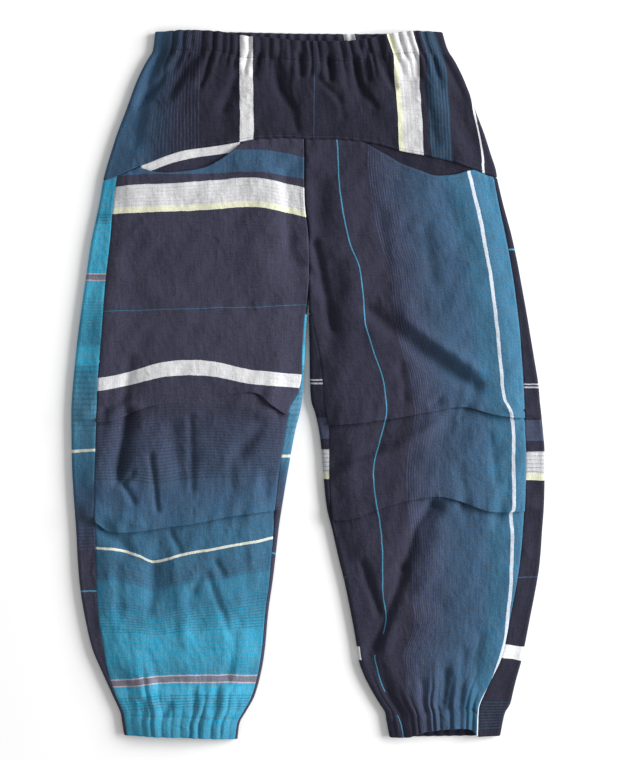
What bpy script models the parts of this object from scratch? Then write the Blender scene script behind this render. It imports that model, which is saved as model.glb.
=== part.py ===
"""Balloon-legged drawn-ankle trousers in striped cotton, laid flat, front side up.

The garment lies on the plane z = 0 with its waist towards +Y. Each leg is a flattened tube of
cloth: the back panel lies on the ground, turns up round both side folds and comes a little way
onto the front, where the front panel is sewn to it. Sizes in the tables are millimetres: x from
the middle of the garment, and down from the top edge of the waist.
"""

import math
from collections import namedtuple

import bmesh
import bpy

MM = 0.001
LENGTH = 919.0

# Cloth, and the gap where two pieces are sewn together.
CLOTH = 1.2
CASING_CLOTH = 2.0
SEAM_GAP = 0.44
SEAM_MARGIN = 0.8
LEAST_INSET = 1.0

# How the cloth lies: rounded side folds, and a front that stands a little off the back.
FOLD_RADIUS = 5.0
LOFT = 8.0
LOFT_REACH = 38.0
FOLD_FREE_EDGE = 14.0
FREE_EDGE = 2.0
CROTCH_DOWN = 368.0
CROTCH_RISE = 12.0
CROTCH_SPREAD = 1.5

# Gathers of the waist and ankle casings.
WAIST_GATHERS = 29
ANKLE_GATHERS = 10
WAIST_GATHER_DEPTH = 2.3
ANKLE_GATHER_DEPTH = 2.0
GATHER_LIFT = 1.6
GATHER_REACH = 46.0
GATHER_BEAT = 2.3
GROUND_GATHER_SHARE = 0.7
WAIST_PUFF = 1.2
SIDE_FADE = 0.055
CASING_HEIGHT = 27.0
HEM_CASING_HEIGHT = 26.0

# Knee tucks: the distances over which the cloth swells above a fold and sinks below it.
TUCK_SWELL = 34.0
TUCK_SINK = 30.0
TUCK_SINK_SHARE = 0.35
BEND_TO_TUCK = -20.0
BEFORE_TUCK = -1.2
AFTER_TUCK = 16.0

OUTER_TURN_COLUMNS = 7
INNER_TURN_COLUMNS = 5
GROUND_COLUMNS = ANKLE_GATHERS + 2
YOKE_TURN_COLUMNS = 4
YOKE_SEAM_INSET = 6.6
BACK_YOKE_DOWN = 184.0

# Rows of the yokes: 0 at the waist edge, 1 at the casing's stitched line and 2 at the yoke seam.
FRONT_YOKE_ROWS = (0, 0.5, 1.0, 1.12, 1.3, 1.5, 1.7, 1.86, 2.0)
BACK_YOKE_ROWS = (0, 0.5, 1.0, 1.15, 1.6, 2.0)

# Rows of the legs: a share of the way from one line to the next, and an offset down from there.
Row = namedtuple("Row", "above below share offset")
LEG_ROWS = [Row("top", "crotch", share, 0) for share in (0, 0.14, 0.34, 0.56, 0.78)]
LEG_ROWS += [Row("crotch", "upper", share, 0) for share in (0, 0.3, 0.6)]
LEG_ROWS += [Row("upper", "upper", 0, offset) for offset in (BEND_TO_TUCK, BEFORE_TUCK, 1.2, 15)]
LEG_ROWS += [Row("upper", "lower", share, 0) for share in (0.36, 0.66)]
LEG_ROWS += [Row("lower", "lower", 0, offset) for offset in (-18, BEFORE_TUCK, 1.2, AFTER_TUCK)]
LEG_ROWS += [Row("lower", "casing", share, 0) for share in (0.24, 0.4, 0.56, 0.72, 0.86, 0.95)]
LEG_ROWS += [Row("casing", "hem", share, 0) for share in (0, 0.5, 1)]
BACK_OFFSETS = (0, BEND_TO_TUCK, BEFORE_TUCK, AFTER_TUCK)

# Pocket bags: rows by depth below the yoke seam, and how far each lies under the front's face.
PocketRow = namedtuple("PocketRow", "depth sunk")
POCKET_ROWS = [
    PocketRow(1.2, 0.9), PocketRow(5, 2.6), PocketRow(14, 3.2),
    PocketRow(40, 3.5), PocketRow(80, 3.5), PocketRow(120, 3.5),
]
POCKET_COLUMNS = 10
POCKET_END_INSET = 12.0
POCKET_CORNER = 22.0

Section = namedtuple("Section", "down outer outseam inseam inner")

# The wearer's right leg, at -X: its two side folds and the seams of its front panel. Above the
# crotch, inseam is the centre front seam.
RIGHT_LEG = [
    Section(190, -266, -248, -5, -5),
    Section(225, -272, -253, -4, -4),
    Section(272, -282, -257, 1, 1),
    Section(326, -290, -263, 1, 1),
    Section(368, -296, -266, -3, -1),
    Section(408, -301, -269, -6, -3.5),
    Section(459, -306, -273, -9, -6),
    Section(490, -308, -274, -24, -9.5),
    Section(521, -308, -275, -29, -17),
    Section(571, -307, -277, -37, -26),
    Section(619, -304, -277.5, -42.5, -34),
    Section(646, -302, -276, -44.5, -38),
    Section(711, -298, -275, -49, -45.5),
    Section(753, -292, -273, -54.5, -51.5),
    Section(802, -281, -265, -59, -56),
    Section(833, -268, -260, -64, -61),
    Section(865, -253.5, -249, -73, -70),
    Section(885, -244.5, -240, -84, -81),
    Section(898, -242, -238, -91, -88.5),
    Section(917, -239, -235, -94, -91.5),
]

# The wearer's left leg, at +X.
LEFT_LEG = [
    Section(190, 246, 242, -4, -4),
    Section(224, 254, 248, -3, -3),
    Section(261, 264, 256, 1.5, 1.5),
    Section(292, 271, 262, 2.5, 2.5),
    Section(329, 278, 268, 2, 2),
    Section(368, 285, 273, 3, 1),
    Section(398, 290, 276, 10, 1.5),
    Section(428, 295, 278, 16, 2),
    Section(459, 300, 280, 19, 2.5),
    Section(482, 302, 281, 20, 4.5),
    Section(495, 303.5, 281, 23, 9),
    Section(521, 306, 282, 27, 14.5),
    Section(545, 308, 283, 27.5, 17.5),
    Section(584, 308, 283, 27.5, 20.5),
    Section(620, 307, 281, 30, 24.5),
    Section(646, 305, 279, 34, 31),
    Section(688, 302, 275, 43.5, 40.5),
    Section(716, 298, 271, 50.5, 47.5),
    Section(763, 289, 262, 60, 57),
    Section(794, 283, 256, 65.5, 62.5),
    Section(818, 278, 249, 69, 66),
    Section(839, 272, 239, 77, 73.5),
    Section(859, 267, 229, 87, 84),
    Section(875, 263, 222, 97, 93.5),
    Section(885, 257, 221, 103, 100),
    Section(896, 254, 220.5, 105, 102),
    Section(917, 250, 220, 109, 106),
]

# Side edges of the hips, where the front meets the back.
Hip = namedtuple("Hip", "down right left")
HIPS = [
    Hip(0, -199, 175),
    Hip(18, -201, 180),
    Hip(27, -203, 184),
    Hip(36, -209, 190),
    Hip(53, -218, 199),
    Hip(69, -225, 206),
    Hip(87, -231.5, 213),
    Hip(105, -238, 219),
    Hip(131, -248, 229),
    Hip(159, -257, 238),
    Hip(179, -263, 244.5),
    Hip(195, -267, 247),
    Hip(230, -273, 255),
]

# Lines across the garment: x across it, and how far down the line lies there.
Mark = namedtuple("Mark", "x down")
FRONT_WAIST_EDGE = [
    Mark(-199, 1), Mark(-136, 1), Mark(-109, 3), Mark(-86, 8), Mark(-44, 11), Mark(-5, 14.5),
    Mark(35, 15), Mark(66, 13.5), Mark(101, 6.5), Mark(120, 3), Mark(156, 1), Mark(175, 1.5),
]
BACK_WAIST_EDGE = [Mark(-199, 0), Mark(-100, 1), Mark(0, 3), Mark(110, 3), Mark(175, 0)]
YOKE_SEAM = [
    Mark(-267, 195), Mark(-246, 188), Mark(-222, 178), Mark(-211, 174), Mark(-183, 163),
    Mark(-160, 156), Mark(-125, 151), Mark(-104, 148), Mark(-86, 144.5), Mark(-69, 141.5),
    Mark(-21, 140), Mark(0, 141.5), Mark(37, 142), Mark(72, 145), Mark(98, 150),
    Mark(119, 156.5), Mark(150, 162.5), Mark(183, 169.5), Mark(205, 177), Mark(216, 180.5),
    Mark(231, 186), Mark(247, 191),
]

# Pocket mouths: how far the free edge of the front leg dips below the yoke seam.
RIGHT_MOUTH = [
    Mark(-222, 0), Mark(-211, 6), Mark(-203, 12), Mark(-183, 21.5), Mark(-160, 26.5),
    Mark(-137, 26), Mark(-118, 20), Mark(-102, 11.5), Mark(-90, 4.5), Mark(-83, 0),
]
LEFT_MOUTH = [
    Mark(72, 0), Mark(87, 6), Mark(107, 12), Mark(127, 17), Mark(149, 21), Mark(162, 23),
    Mark(173, 21.5), Mark(190, 15.5), Mark(205, 6), Mark(216, 0),
]

# Tucks sewn across the knees: share of the way from outseam to inseam, how far down the fold
# lies there, and how high the upper cloth stands over the lower.
Tuck = namedtuple("Tuck", "share down step")
RIGHT_UPPER_TUCK = [
    Tuck(0, 506, 3.2), Tuck(0.1, 502, 4.2), Tuck(0.19, 492, 3.5), Tuck(0.34, 484, 0),
    Tuck(0.6, 476, 0), Tuck(0.78, 468, 2), Tuck(0.9, 482, 4), Tuck(1, 497, 3.2),
]
RIGHT_LOWER_TUCK = [
    Tuck(0, 634, 3.6), Tuck(0.08, 646, 4.5), Tuck(0.25, 646, 3.8), Tuck(0.36, 643, 3.2),
    Tuck(0.6, 634, 4), Tuck(0.74, 627, 4), Tuck(1, 620, 3.2),
]
LEFT_UPPER_TUCK = [
    Tuck(0, 500, 3.2), Tuck(0.07, 498, 4.2), Tuck(0.15, 495, 4.8), Tuck(0.3, 486, 3),
    Tuck(0.48, 494, 1.5), Tuck(0.66, 500, 3.6), Tuck(0.85, 506, 4), Tuck(1, 510, 3),
]
LEFT_LOWER_TUCK = [
    Tuck(0, 621, 3.2), Tuck(0.18, 620, 4.2), Tuck(0.35, 606, 3.8), Tuck(0.45, 602, 3),
    Tuck(0.58, 606, 3), Tuck(0.77, 619, 3.4), Tuck(0.88, 629, 4), Tuck(1, 634, 3),
]

# Bottom edges of the legs, by share from outseam to inseam.
Edge = namedtuple("Edge", "share down")
RIGHT_FRONT_HEM = [Edge(0, 914), Edge(0.5, 915.5), Edge(1, 919)]
RIGHT_BACK_HEM = [Edge(0, 914), Edge(0.5, 916), Edge(1, 919)]
LEFT_FRONT_HEM = [
    Edge(0, 915), Edge(0.08, 905), Edge(0.4, 905), Edge(0.62, 909), Edge(0.82, 916), Edge(1, 917),
]
LEFT_BACK_HEM = [Edge(0, 915), Edge(0.5, 916), Edge(1, 917)]

# The largest folds of the front: a line from one place to another, half its width, and its rise.
Fold = namedtuple("Fold", "x down to_x to_down width rise")
FOLDS = [
    Fold(-192, 25, -222, 92, 11, -4.8),
    Fold(-160, 42, -203, 98, 11, -4.8),
    Fold(-142, 24, -174, 80, 10, -3.6),
    Fold(-91, 78, -113, 112, 12, -3.9),
    Fold(-113, 112, -102, 136, 11, -3.0),
    Fold(-42, 48, -21, 125, 11, -3.9),
    Fold(29, 36, 30, 72, 9, -3.3),
    Fold(18, 50, 46, 108, 11, 3.3),
    Fold(62, 38, 69, 94, 11, -4.5),
    Fold(69, 94, 88, 114, 11, -3.9),
    Fold(177, 80, 216, 152, 12, -3.6),
    Fold(150, 50, 176, 140, 14, 2.7),
    Fold(-60, 160, -56, 350, 24, 3.9),
    Fold(-19, 172, -15, 337, 14, -3.0),
    Fold(-226, 250, -234, 402, 20, -2.1),
    Fold(-210, 464, -130, 446, 26, 3.9),
    Fold(-230, 494, -248, 580, 12, -6.6),
    Fold(-100, 476, -46, 500, 16, 3.6),
    Fold(-165, 548, -98, 584, 26, -3.0),
    Fold(-196, 655, -197, 742, 15, -3.6),
    Fold(-120, 700, -100, 830, 20, 2.7),
    Fold(-225, 770, -205, 850, 18, 2.7),
    Fold(14, 190, 18, 350, 13, -3.9),
    Fold(40, 200, 62, 350, 18, 3.3),
    Fold(38, 300, 30, 420, 13, -4.8),
    Fold(82, 366, 124, 380, 15, -3.6),
    Fold(110, 350, 156, 398, 15, 3.0),
    Fold(156, 398, 222, 444, 15, 3.9),
    Fold(133, 410, 236, 478, 14, -4.2),
    Fold(173, 204, 205, 292, 16, -3.0),
    Fold(44, 566, 166, 514, 15, 3.9),
    Fold(60, 585, 150, 560, 16, -2.7),
    Fold(164, 614, 132, 672, 13, -6.6),
    Fold(132, 672, 104, 744, 14, -4.8),
    Fold(176, 640, 152, 724, 16, 3.3),
    Fold(74, 700, 95, 762, 12, -4.8),
    Fold(95, 762, 80, 812, 12, -4.8),
    Fold(80, 812, 122, 890, 12, -4.5),
    Fold(128, 766, 104, 828, 14, -3.6),
    Fold(177, 820, 176, 884, 12, -3.9),
]

NAVY = (0.045, 0.047, 0.086)
TURQUOISE = (0.030, 0.300, 0.440)
SLATE = (0.055, 0.100, 0.170)


def clamp(value, low=0.0, high=1.0):
    return max(low, min(high, value))


def ease(value):
    """A smooth step from 0 to 1."""
    t = clamp(value)
    return t * t * (3 - 2 * t)


def mix(start, end, share):
    return start + (end - start) * share


def curve(points):
    """A smooth function through (position, value) points, flat beyond its ends."""
    points = sorted(points)

    def slope(i):
        before, after = points[max(i - 1, 0)], points[min(i + 1, len(points) - 1)]
        return (after[1] - before[1]) / (after[0] - before[0])

    slopes = [slope(i) for i in range(len(points))]

    def at(position):
        if position <= points[0][0]:
            return points[0][1]
        if position >= points[-1][0]:
            return points[-1][1]
        i = max(k for k in range(len(points) - 1) if points[k][0] <= position)
        (x0, y0), (x1, y1) = points[i], points[i + 1]
        width = x1 - x0
        t = (position - x0) / width
        start = (1 + 2 * t) * (1 - t) ** 2 * y0 + t * (1 - t) ** 2 * width * slopes[i]
        end = t * t * (3 - 2 * t) * y1 + t * t * (t - 1) * width * slopes[i + 1]
        return start + end

    return at


def column(table, name, key="down"):
    """The smooth function of one column of a table."""
    return curve([(getattr(row, key), getattr(row, name)) for row in table])


hip_right = column(HIPS, "right")
hip_left = column(HIPS, "left")
front_waist = column(FRONT_WAIST_EDGE, "down", "x")
back_waist = column(BACK_WAIST_EDGE, "down", "x")
yoke_seam = column(YOKE_SEAM, "down", "x")


def back_yoke_seam(x):
    """The yoke seam on the back: the front's line up to the side seams, and a flatter one between them."""
    right, left = YOKE_SEAM[0].x + YOKE_SEAM_INSET, YOKE_SEAM[-1].x - YOKE_SEAM_INSET
    if not right < x < left:
        return yoke_seam(x)
    middle = (right + left) / 2
    return curve([(right, yoke_seam(right)), (middle, BACK_YOKE_DOWN), (left, yoke_seam(left))])(x)


class Leg:
    """One leg's lines, read from its tables. side is -1 for the wearer's right and 1 for the left."""

    def __init__(self, side, sections, mouth, tucks, front_hem, back_hem):
        self.side = side
        self.hip = hip_right if side < 0 else hip_left
        self.outer_fold = column(sections, "outer")
        self.outseam = column(sections, "outseam")
        self.inseam = column(sections, "inseam")
        self.inner_fold = column(sections, "inner")
        self.mouth = column(mouth, "down", "x")
        self.mouth_ends = (mouth[0].x, mouth[-1].x)
        self.tuck_lines = [column(tuck, "down", "share") for tuck in tucks]
        self.tuck_steps = [column(tuck, "step", "share") for tuck in tucks]
        self.front_hem = column(front_hem, "down", "share")
        self.back_hem = column(back_hem, "down", "share")

    def top_edge(self, x):
        """The front leg's upper edge: sewn to the yoke, or free at the pocket mouth."""
        low, high = self.mouth_ends
        dip = self.mouth(x) if low < x < high else 0.0
        return yoke_seam(x) + max(dip, 0.0)


RIGHT_TUCKS = (RIGHT_UPPER_TUCK, RIGHT_LOWER_TUCK)
LEFT_TUCKS = (LEFT_UPPER_TUCK, LEFT_LOWER_TUCK)
RIGHT = Leg(-1, RIGHT_LEG, RIGHT_MOUTH, RIGHT_TUCKS, RIGHT_FRONT_HEM, RIGHT_BACK_HEM)
LEFT = Leg(1, LEFT_LEG, LEFT_MOUTH, LEFT_TUCKS, LEFT_FRONT_HEM, LEFT_BACK_HEM)


def fold_height(x, down):
    """The sum of the folds at a place on the front. A fold fades round its two ends."""
    total = 0.0
    for fold in FOLDS:
        to_x, to_down = fold.to_x - fold.x, fold.to_down - fold.down
        length = math.hypot(to_x, to_down)
        along = ((x - fold.x) * to_x + (down - fold.down) * to_down) / length
        across = ((x - fold.x) * to_down - (down - fold.down) * to_x) / length
        start = ease(0.5 + along / (2 * fold.width))
        stop = ease(0.5 + (length - along) / (2 * fold.width))
        total += fold.rise * start * stop * math.exp(-((across / fold.width) ** 2))
    return total


def edge_distance(leg, x, down):
    """How far a place lies in from the nearest side fold of the cloth."""
    outer_fold = leg.outer_fold if down > YOKE_SEAM[0].down else leg.hip
    above_crotch = max(0.0, CROTCH_DOWN - down)
    inner = math.hypot(x - leg.inner_fold(down), CROTCH_SPREAD * above_crotch)
    return min(abs(outer_fold(down) - x), inner)


def cloth_top(leg, x, down):
    """The height of the front's outer face over the ground."""
    inset = edge_distance(leg, x, down)
    if inset < FOLD_RADIUS:
        return FOLD_RADIUS + math.sqrt(FOLD_RADIUS**2 - (FOLD_RADIUS - inset) ** 2)
    clear = inset - FOLD_RADIUS
    folds = fold_height(x, down) * ease(clear / FOLD_FREE_EDGE)
    return 2 * FOLD_RADIUS + LOFT * ease(clear / LOFT_REACH) + folds


def gather_share(down, line):
    """How strongly gathers show at a distance from a casing's stitched line."""
    return 1 - ease(abs(down - line) / GATHER_REACH)


def gather_wave(i, uneven):
    """Crests at even columns and troughs at odd ones, uneven in depth, between -1 and 1."""
    return (1 - uneven + uneven * math.sin(GATHER_BEAT * i)) * math.cos(math.pi * i)


def ground_wave(i):
    """The same gathers on the ground side: troughs at odd columns only, so that it still lies flat."""
    return 0.5 - 0.5 * math.cos(math.pi * i)


def turn(seam_inset, count):
    """Places round a side fold, as (inset, height), from a seam on top to the ground.

    height is None on the flat stretch between the seam and the fold. The first place after the
    seam is close to it, so that the wall's edge stands square to the cloth there.
    """
    start = math.asin(clamp((FOLD_RADIUS - seam_inset) / FOLD_RADIUS))
    flat = max(seam_inset - FOLD_RADIUS, 0.0)
    total = flat + FOLD_RADIUS * (math.pi - start)
    places = []
    for gone in [0, SEAM_MARGIN] + [total * i / count for i in range(1, count + 1)]:
        if gone < flat:
            places.append((seam_inset - gone, None))
        else:
            angle = start + (gone - flat) / FOLD_RADIUS
            places.append((FOLD_RADIUS * (1 - math.sin(angle)), FOLD_RADIUS * (1 + math.cos(angle))))
    return places


def panel_shares(across, width):
    """Even shares across a panel, with one more close to each seam."""
    margin = SEAM_MARGIN / abs(width)
    return [0, margin] + [i / across for i in range(1, across)] + [1 - margin, 1]


def cloth_material(name, colour):
    material = bpy.data.materials.new(name)
    material.use_nodes = True
    shader = material.node_tree.nodes["Principled BSDF"]
    shader.inputs["Base Color"].default_value = (*colour, 1)
    shader.inputs["Roughness"].default_value = 0.9
    shader.inputs["Metallic"].default_value = 0.0
    return material


def cloth_object(name, grid, colour, walls):
    """A cloth piece from rows of points on its outer face, given its wall inwards by Solidify.

    The points run with the face outwards. A point of None leaves out the faces round it. walls
    holds each row's share of the casing's thickness.
    """
    shape = bmesh.new()
    shares = []
    rows = []
    for points, wall_share in zip(grid, walls):
        row = []
        for point in points:
            if point is None:
                row.append(None)
                continue
            x, down, height = point
            row.append(shape.verts.new((x * MM, (LENGTH / 2 - down) * MM, height * MM)))
            shares.append(wall_share)
        rows.append(row)
    for upper, lower in zip(rows, rows[1:]):
        for i in range(len(upper) - 1):
            corners = [upper[i], lower[i], lower[i + 1], upper[i + 1]]
            if None not in corners:
                shape.faces.new(corners)
    mesh = bpy.data.meshes.new(name)
    shape.to_mesh(mesh)
    shape.free()
    mesh.materials.append(cloth_material(name, colour))
    mesh.shade_smooth()
    piece = bpy.data.objects.new(name, mesh)
    PANTS.objects.link(piece)
    group = piece.vertex_groups.new(name="wall share")
    for index, share in enumerate(shares):
        group.add([index], share, "REPLACE")
    wall = piece.modifiers.new("Wall", "SOLIDIFY")
    wall.thickness = CASING_CLOTH * MM
    wall.vertex_group = group.name
    wall.offset = -1
    wall.use_rim = True
    wall.use_quality_normals = True
    return piece


def yoke_walls(row_shares):
    """The casing's thickness down to its stitched line, at share 1, and single cloth below it."""
    return [1.0 if share <= 1 else CLOTH / CASING_CLOTH for share in row_shares]


def leg_walls(rows):
    """Single cloth down a leg, and the casing's thickness at its hem."""
    return [1.0 if row.above == "casing" else CLOTH / CASING_CLOTH for row in rows]


def yoke_place(share, row_share, top_edge, seam):
    """Where a column crosses a row between the side folds: x, and how far down."""
    x = mix(hip_right(0), hip_left(0), share)
    for _ in range(3):
        top = top_edge(x)
        casing = top + CASING_HEIGHT
        if row_share <= 1:
            down = mix(top, casing, row_share)
        else:
            down = mix(casing, seam(x) - SEAM_GAP / 2, row_share - 1)
        x = mix(hip_right(down) + FOLD_RADIUS, hip_left(down) - FOLD_RADIUS, share)
    return x, down


def side_fade(share):
    """Gathers die away at the side folds."""
    return ease(min(share, 1 - share) / SIDE_FADE)


def front_yoke():
    """The front from the waist to the yoke seam, with its gathered casing, turned under at the sides."""
    across = 2 * WAIST_GATHERS
    turned = []
    for step in range(1, YOKE_TURN_COLUMNS + 1):
        angle = math.pi * step / YOKE_TURN_COLUMNS
        turned.append((FOLD_RADIUS * math.sin(angle), FOLD_RADIUS * (1 + math.cos(angle))))
    turned.append((FOLD_RADIUS - YOKE_SEAM_INSET, 0))
    grid = []
    for row_share in FRONT_YOKE_ROWS:
        row = []
        for i in range(across + 1):
            share = i / across
            x, down = yoke_place(share, row_share, front_waist, yoke_seam)
            fade = 1 if row_share <= 1 else gather_share(down, front_waist(x) + CASING_HEIGHT)
            puff = WAIST_PUFF * math.sin(math.pi * min(row_share, 1))
            lift = fade * (GATHER_LIFT + WAIST_GATHER_DEPTH * gather_wave(i, 0.25)) + puff
            height = cloth_top(RIGHT if x < 0 else LEFT, x, down) + lift * side_fade(share)
            row.append((x, down, height))
        (first, first_down, _), (last, last_down, _) = row[0], row[-1]
        row = [(first - out, first_down, height) for out, height in reversed(turned)] + row
        row += [(last + out, last_down, height) for out, height in turned]
        grid.append(row)
    return cloth_object("front_yoke", grid, SLATE, yoke_walls(FRONT_YOKE_ROWS))


def back_yoke():
    """The back from the waist to its yoke seam, lying on the ground between the side seams."""
    across = 2 * WAIST_GATHERS
    inset = YOKE_SEAM_INSET - FOLD_RADIUS + SEAM_GAP
    grid = []
    for row_share in BACK_YOKE_ROWS:
        row = []
        for i in range(across, -1, -1):
            share = i / across
            x, down = yoke_place(share, row_share, back_waist, back_yoke_seam)
            fade = 1 if row_share <= 1 else gather_share(down, back_waist(x) + CASING_HEIGHT)
            wave = WAIST_GATHER_DEPTH * fade * side_fade(share) * ground_wave(i)
            row.append((x + inset * (1 - 2 * share), down, wave))
        grid.append(row)
    return cloth_object("back_yoke", grid, NAVY, yoke_walls(BACK_YOKE_ROWS))


def line_down(leg, line, share, back):
    """How far down a named line lies at a share of the way from outseam to inseam."""
    if line == "top":
        below_yoke = YOKE_SEAM[0].down
        x = mix(leg.outseam(below_yoke), leg.inseam(below_yoke), share)
        return (back_yoke_seam(x) if back else leg.top_edge(x)) + SEAM_GAP / 2
    if line == "crotch":
        return CROTCH_DOWN - CROTCH_RISE * (1 - share)
    if line in ("upper", "lower"):
        tuck = leg.tuck_lines[0 if line == "upper" else 1]
        return mix(tuck(0), tuck(1), share) if back else tuck(share)
    hem = (leg.back_hem if back else leg.front_hem)(share)
    return hem - HEM_CASING_HEIGHT if line == "casing" else hem


def row_down(leg, row, share, back=False):
    """How far down a row lies at a share of the way from outseam to inseam."""
    start = line_down(leg, row.above, share, back)
    return mix(start, line_down(leg, row.below, share, back), row.share) + row.offset


def tuck_height(leg, share, down):
    """The upper cloth of each tuck swells towards its fold, and the lower cloth sinks under it."""
    height = 0.0
    for line, step in zip(leg.tuck_lines, leg.tuck_steps):
        past = down - line(share)
        if past <= 0:
            height += step(share) * ease(1 + past / TUCK_SWELL)
        else:
            height -= TUCK_SINK_SHARE * step(share) * (1 - ease(past / TUCK_SINK))
    return height


def front_leg(name, leg, colour):
    """A front leg panel, from the yoke seam and pocket mouth to the gathered hem."""
    across = 2 * ANKLE_GATHERS + 2
    grid = []
    for row in LEG_ROWS:
        width = leg.outseam(row_down(leg, row, 0)) - leg.inseam(row_down(leg, row, 1))
        points = []
        for share in panel_shares(across, width):
            down = row_down(leg, row, share)
            start = leg.outseam(down) - leg.side * SEAM_GAP / 2
            end = leg.inseam(down) + leg.side * SEAM_GAP / 2
            x = mix(start, end, share)
            casing = line_down(leg, "casing", share, False)
            fade = gather_share(down, casing) if down < casing else 1
            wave = GATHER_LIFT + ANKLE_GATHER_DEPTH * gather_wave(share * across, 0.2)
            wave *= fade * ease((edge_distance(leg, x, down) - FREE_EDGE) / FOLD_FREE_EDGE)
            points.append((x, down, cloth_top(leg, x, down) + wave + tuck_height(leg, share, down)))
        grid.append(points if leg.side < 0 else points[::-1])
    return cloth_object(name, grid, colour, leg_walls(LEG_ROWS))


def wrapped(leg, row, places, share):
    """The points of a back panel round its outer fold, at share 0, or its inner one, at share 1."""
    fold = leg.outer_fold if share == 0 else leg.inner_fold
    towards = -leg.side if share == 0 else leg.side
    points = []
    for inset, height in places:
        down = row_down(leg, row, share)
        x = fold(down) + towards * inset
        if row.above == "top":
            for _ in range(2):
                down = mix(yoke_seam(x) + SEAM_GAP / 2, line_down(leg, "crotch", share, False), row.share)
                x = fold(down) + towards * inset
        points.append((x, down, cloth_top(leg, x, down) if height is None else height))
    return points


def ground_points(leg, row, start, end):
    """The points of a back panel on the ground, after start and up to end."""
    gathered = row.above == "casing" or (row.below == "casing" and row.share > GROUND_GATHER_SHARE)
    points = []
    for i in range(1, GROUND_COLUMNS + 1):
        share = i / GROUND_COLUMNS
        x = mix(start, end, share)
        down = row_down(leg, row, share, back=True)
        if row.above == "top":
            down = mix(back_yoke_seam(x) + SEAM_GAP / 2, line_down(leg, "crotch", share, True), row.share)
        points.append((x, down, ANKLE_GATHER_DEPTH * ground_wave(i) if gathered else 0))
    return points


def back_leg(name, leg, colour):
    """A back leg panel: on the ground, and up round the side folds to both seams."""
    rows = [row for row in LEG_ROWS if row.offset in BACK_OFFSETS]
    grid = []
    for row in rows:
        outer_down, inner_down = row_down(leg, row, 0), row_down(leg, row, 1)
        outer_inset = abs(leg.outseam(outer_down) - leg.outer_fold(outer_down)) - SEAM_GAP / 2
        inner_inset = abs(leg.inseam(inner_down) - leg.inner_fold(inner_down)) - SEAM_GAP / 2
        outer = wrapped(leg, row, turn(outer_inset, OUTER_TURN_COLUMNS), 0)
        inner = wrapped(leg, row, turn(max(inner_inset, LEAST_INSET), INNER_TURN_COLUMNS)[:-1], 1)[::-1]
        below_crotch = row.above != "top"
        reach = FOLD_RADIUS if below_crotch else SEAM_GAP / 2
        end = leg.inner_fold(inner_down) + leg.side * reach
        points = outer + ground_points(leg, row, outer[-1][0], end)
        points += inner if below_crotch else [None] * len(inner)
        grid.append(points if leg.side > 0 else points[::-1])
    return cloth_object(name, grid, colour, leg_walls(rows))


def pocket_bag(name, leg, colour):
    """The pocket's inner layer: sewn to the yoke along the mouth, then down under the front leg."""
    start, end = leg.mouth_ends[0] + POCKET_END_INSET, leg.mouth_ends[1] - POCKET_END_INSET
    deepest = POCKET_ROWS[-1].depth
    grid = []
    for row in POCKET_ROWS:
        points = []
        for i in range(POCKET_COLUMNS + 1):
            share = i / POCKET_COLUMNS
            x = mix(start, end, share)
            corner = POCKET_CORNER * abs(2 * share - 1) ** 3 * row.depth / deepest
            down = yoke_seam(x) + SEAM_GAP / 2 + row.depth - corner
            points.append((x, down, cloth_top(leg, x, down) - row.sunk))
        grid.append(points)
    return cloth_object(name, grid, colour, [CLOTH / CASING_CLOTH] * len(POCKET_ROWS))


for existing in list(bpy.data.objects):
    bpy.data.objects.remove(existing, do_unlink=True)
PANTS = bpy.data.collections.new("parachute pants")
bpy.context.scene.collection.children.link(PANTS)

front_yoke()
back_yoke()
front_leg("front_leg_right", RIGHT, NAVY)
front_leg("front_leg_left", LEFT, NAVY)
back_leg("back_leg_right", RIGHT, TURQUOISE)
back_leg("back_leg_left", LEFT, NAVY)
pocket_bag("pocket_bag_right", RIGHT, NAVY)
pocket_bag("pocket_bag_left", LEFT, NAVY)
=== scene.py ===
"""Looks for balloon-legged drawn-ankle trousers in striped cotton, laid flat, front side up.

Run as a script, it loads the trousers' solids as a fixed frame, dresses each one in a thin woven
cloth with its gathers, tucks, creases, stripes and stitching, and sets them on a pale floor.
Sizes in the tables are millimetres: x from the middle of the garment, and down from the top edge
of the waist. The wearer's right is at -X.
"""

import math
from collections import namedtuple

import bpy
import numpy as np
from bpy.props import FloatProperty, FloatVectorProperty, IntProperty, PointerProperty
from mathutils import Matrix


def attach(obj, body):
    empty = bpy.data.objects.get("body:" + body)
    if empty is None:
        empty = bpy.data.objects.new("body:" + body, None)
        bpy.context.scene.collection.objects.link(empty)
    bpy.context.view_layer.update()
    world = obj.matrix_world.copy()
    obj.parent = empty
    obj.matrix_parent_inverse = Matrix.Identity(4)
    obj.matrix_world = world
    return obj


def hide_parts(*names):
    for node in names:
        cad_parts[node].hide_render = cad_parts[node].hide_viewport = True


bl_info = {
    "name": "Parachute Pants, Laid Flat",
    "version": (1, 0, 0),
    "blender": (4, 5, 0),
    "location": "View3D > Sidebar > Trousers",
    "description": "Dresses flat-laid striped trousers with gathered waist and ankles",
    "category": "Add Mesh",
}

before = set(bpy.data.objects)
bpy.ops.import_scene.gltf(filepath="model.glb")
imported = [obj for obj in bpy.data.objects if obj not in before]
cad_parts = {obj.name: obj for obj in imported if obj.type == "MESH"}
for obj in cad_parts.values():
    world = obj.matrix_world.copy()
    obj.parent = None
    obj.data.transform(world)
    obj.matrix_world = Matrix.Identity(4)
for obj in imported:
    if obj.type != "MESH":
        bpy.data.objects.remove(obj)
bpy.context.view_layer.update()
WEAVE_MAP = "weave"

MM = 0.001
LENGTH = 919.0

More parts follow.
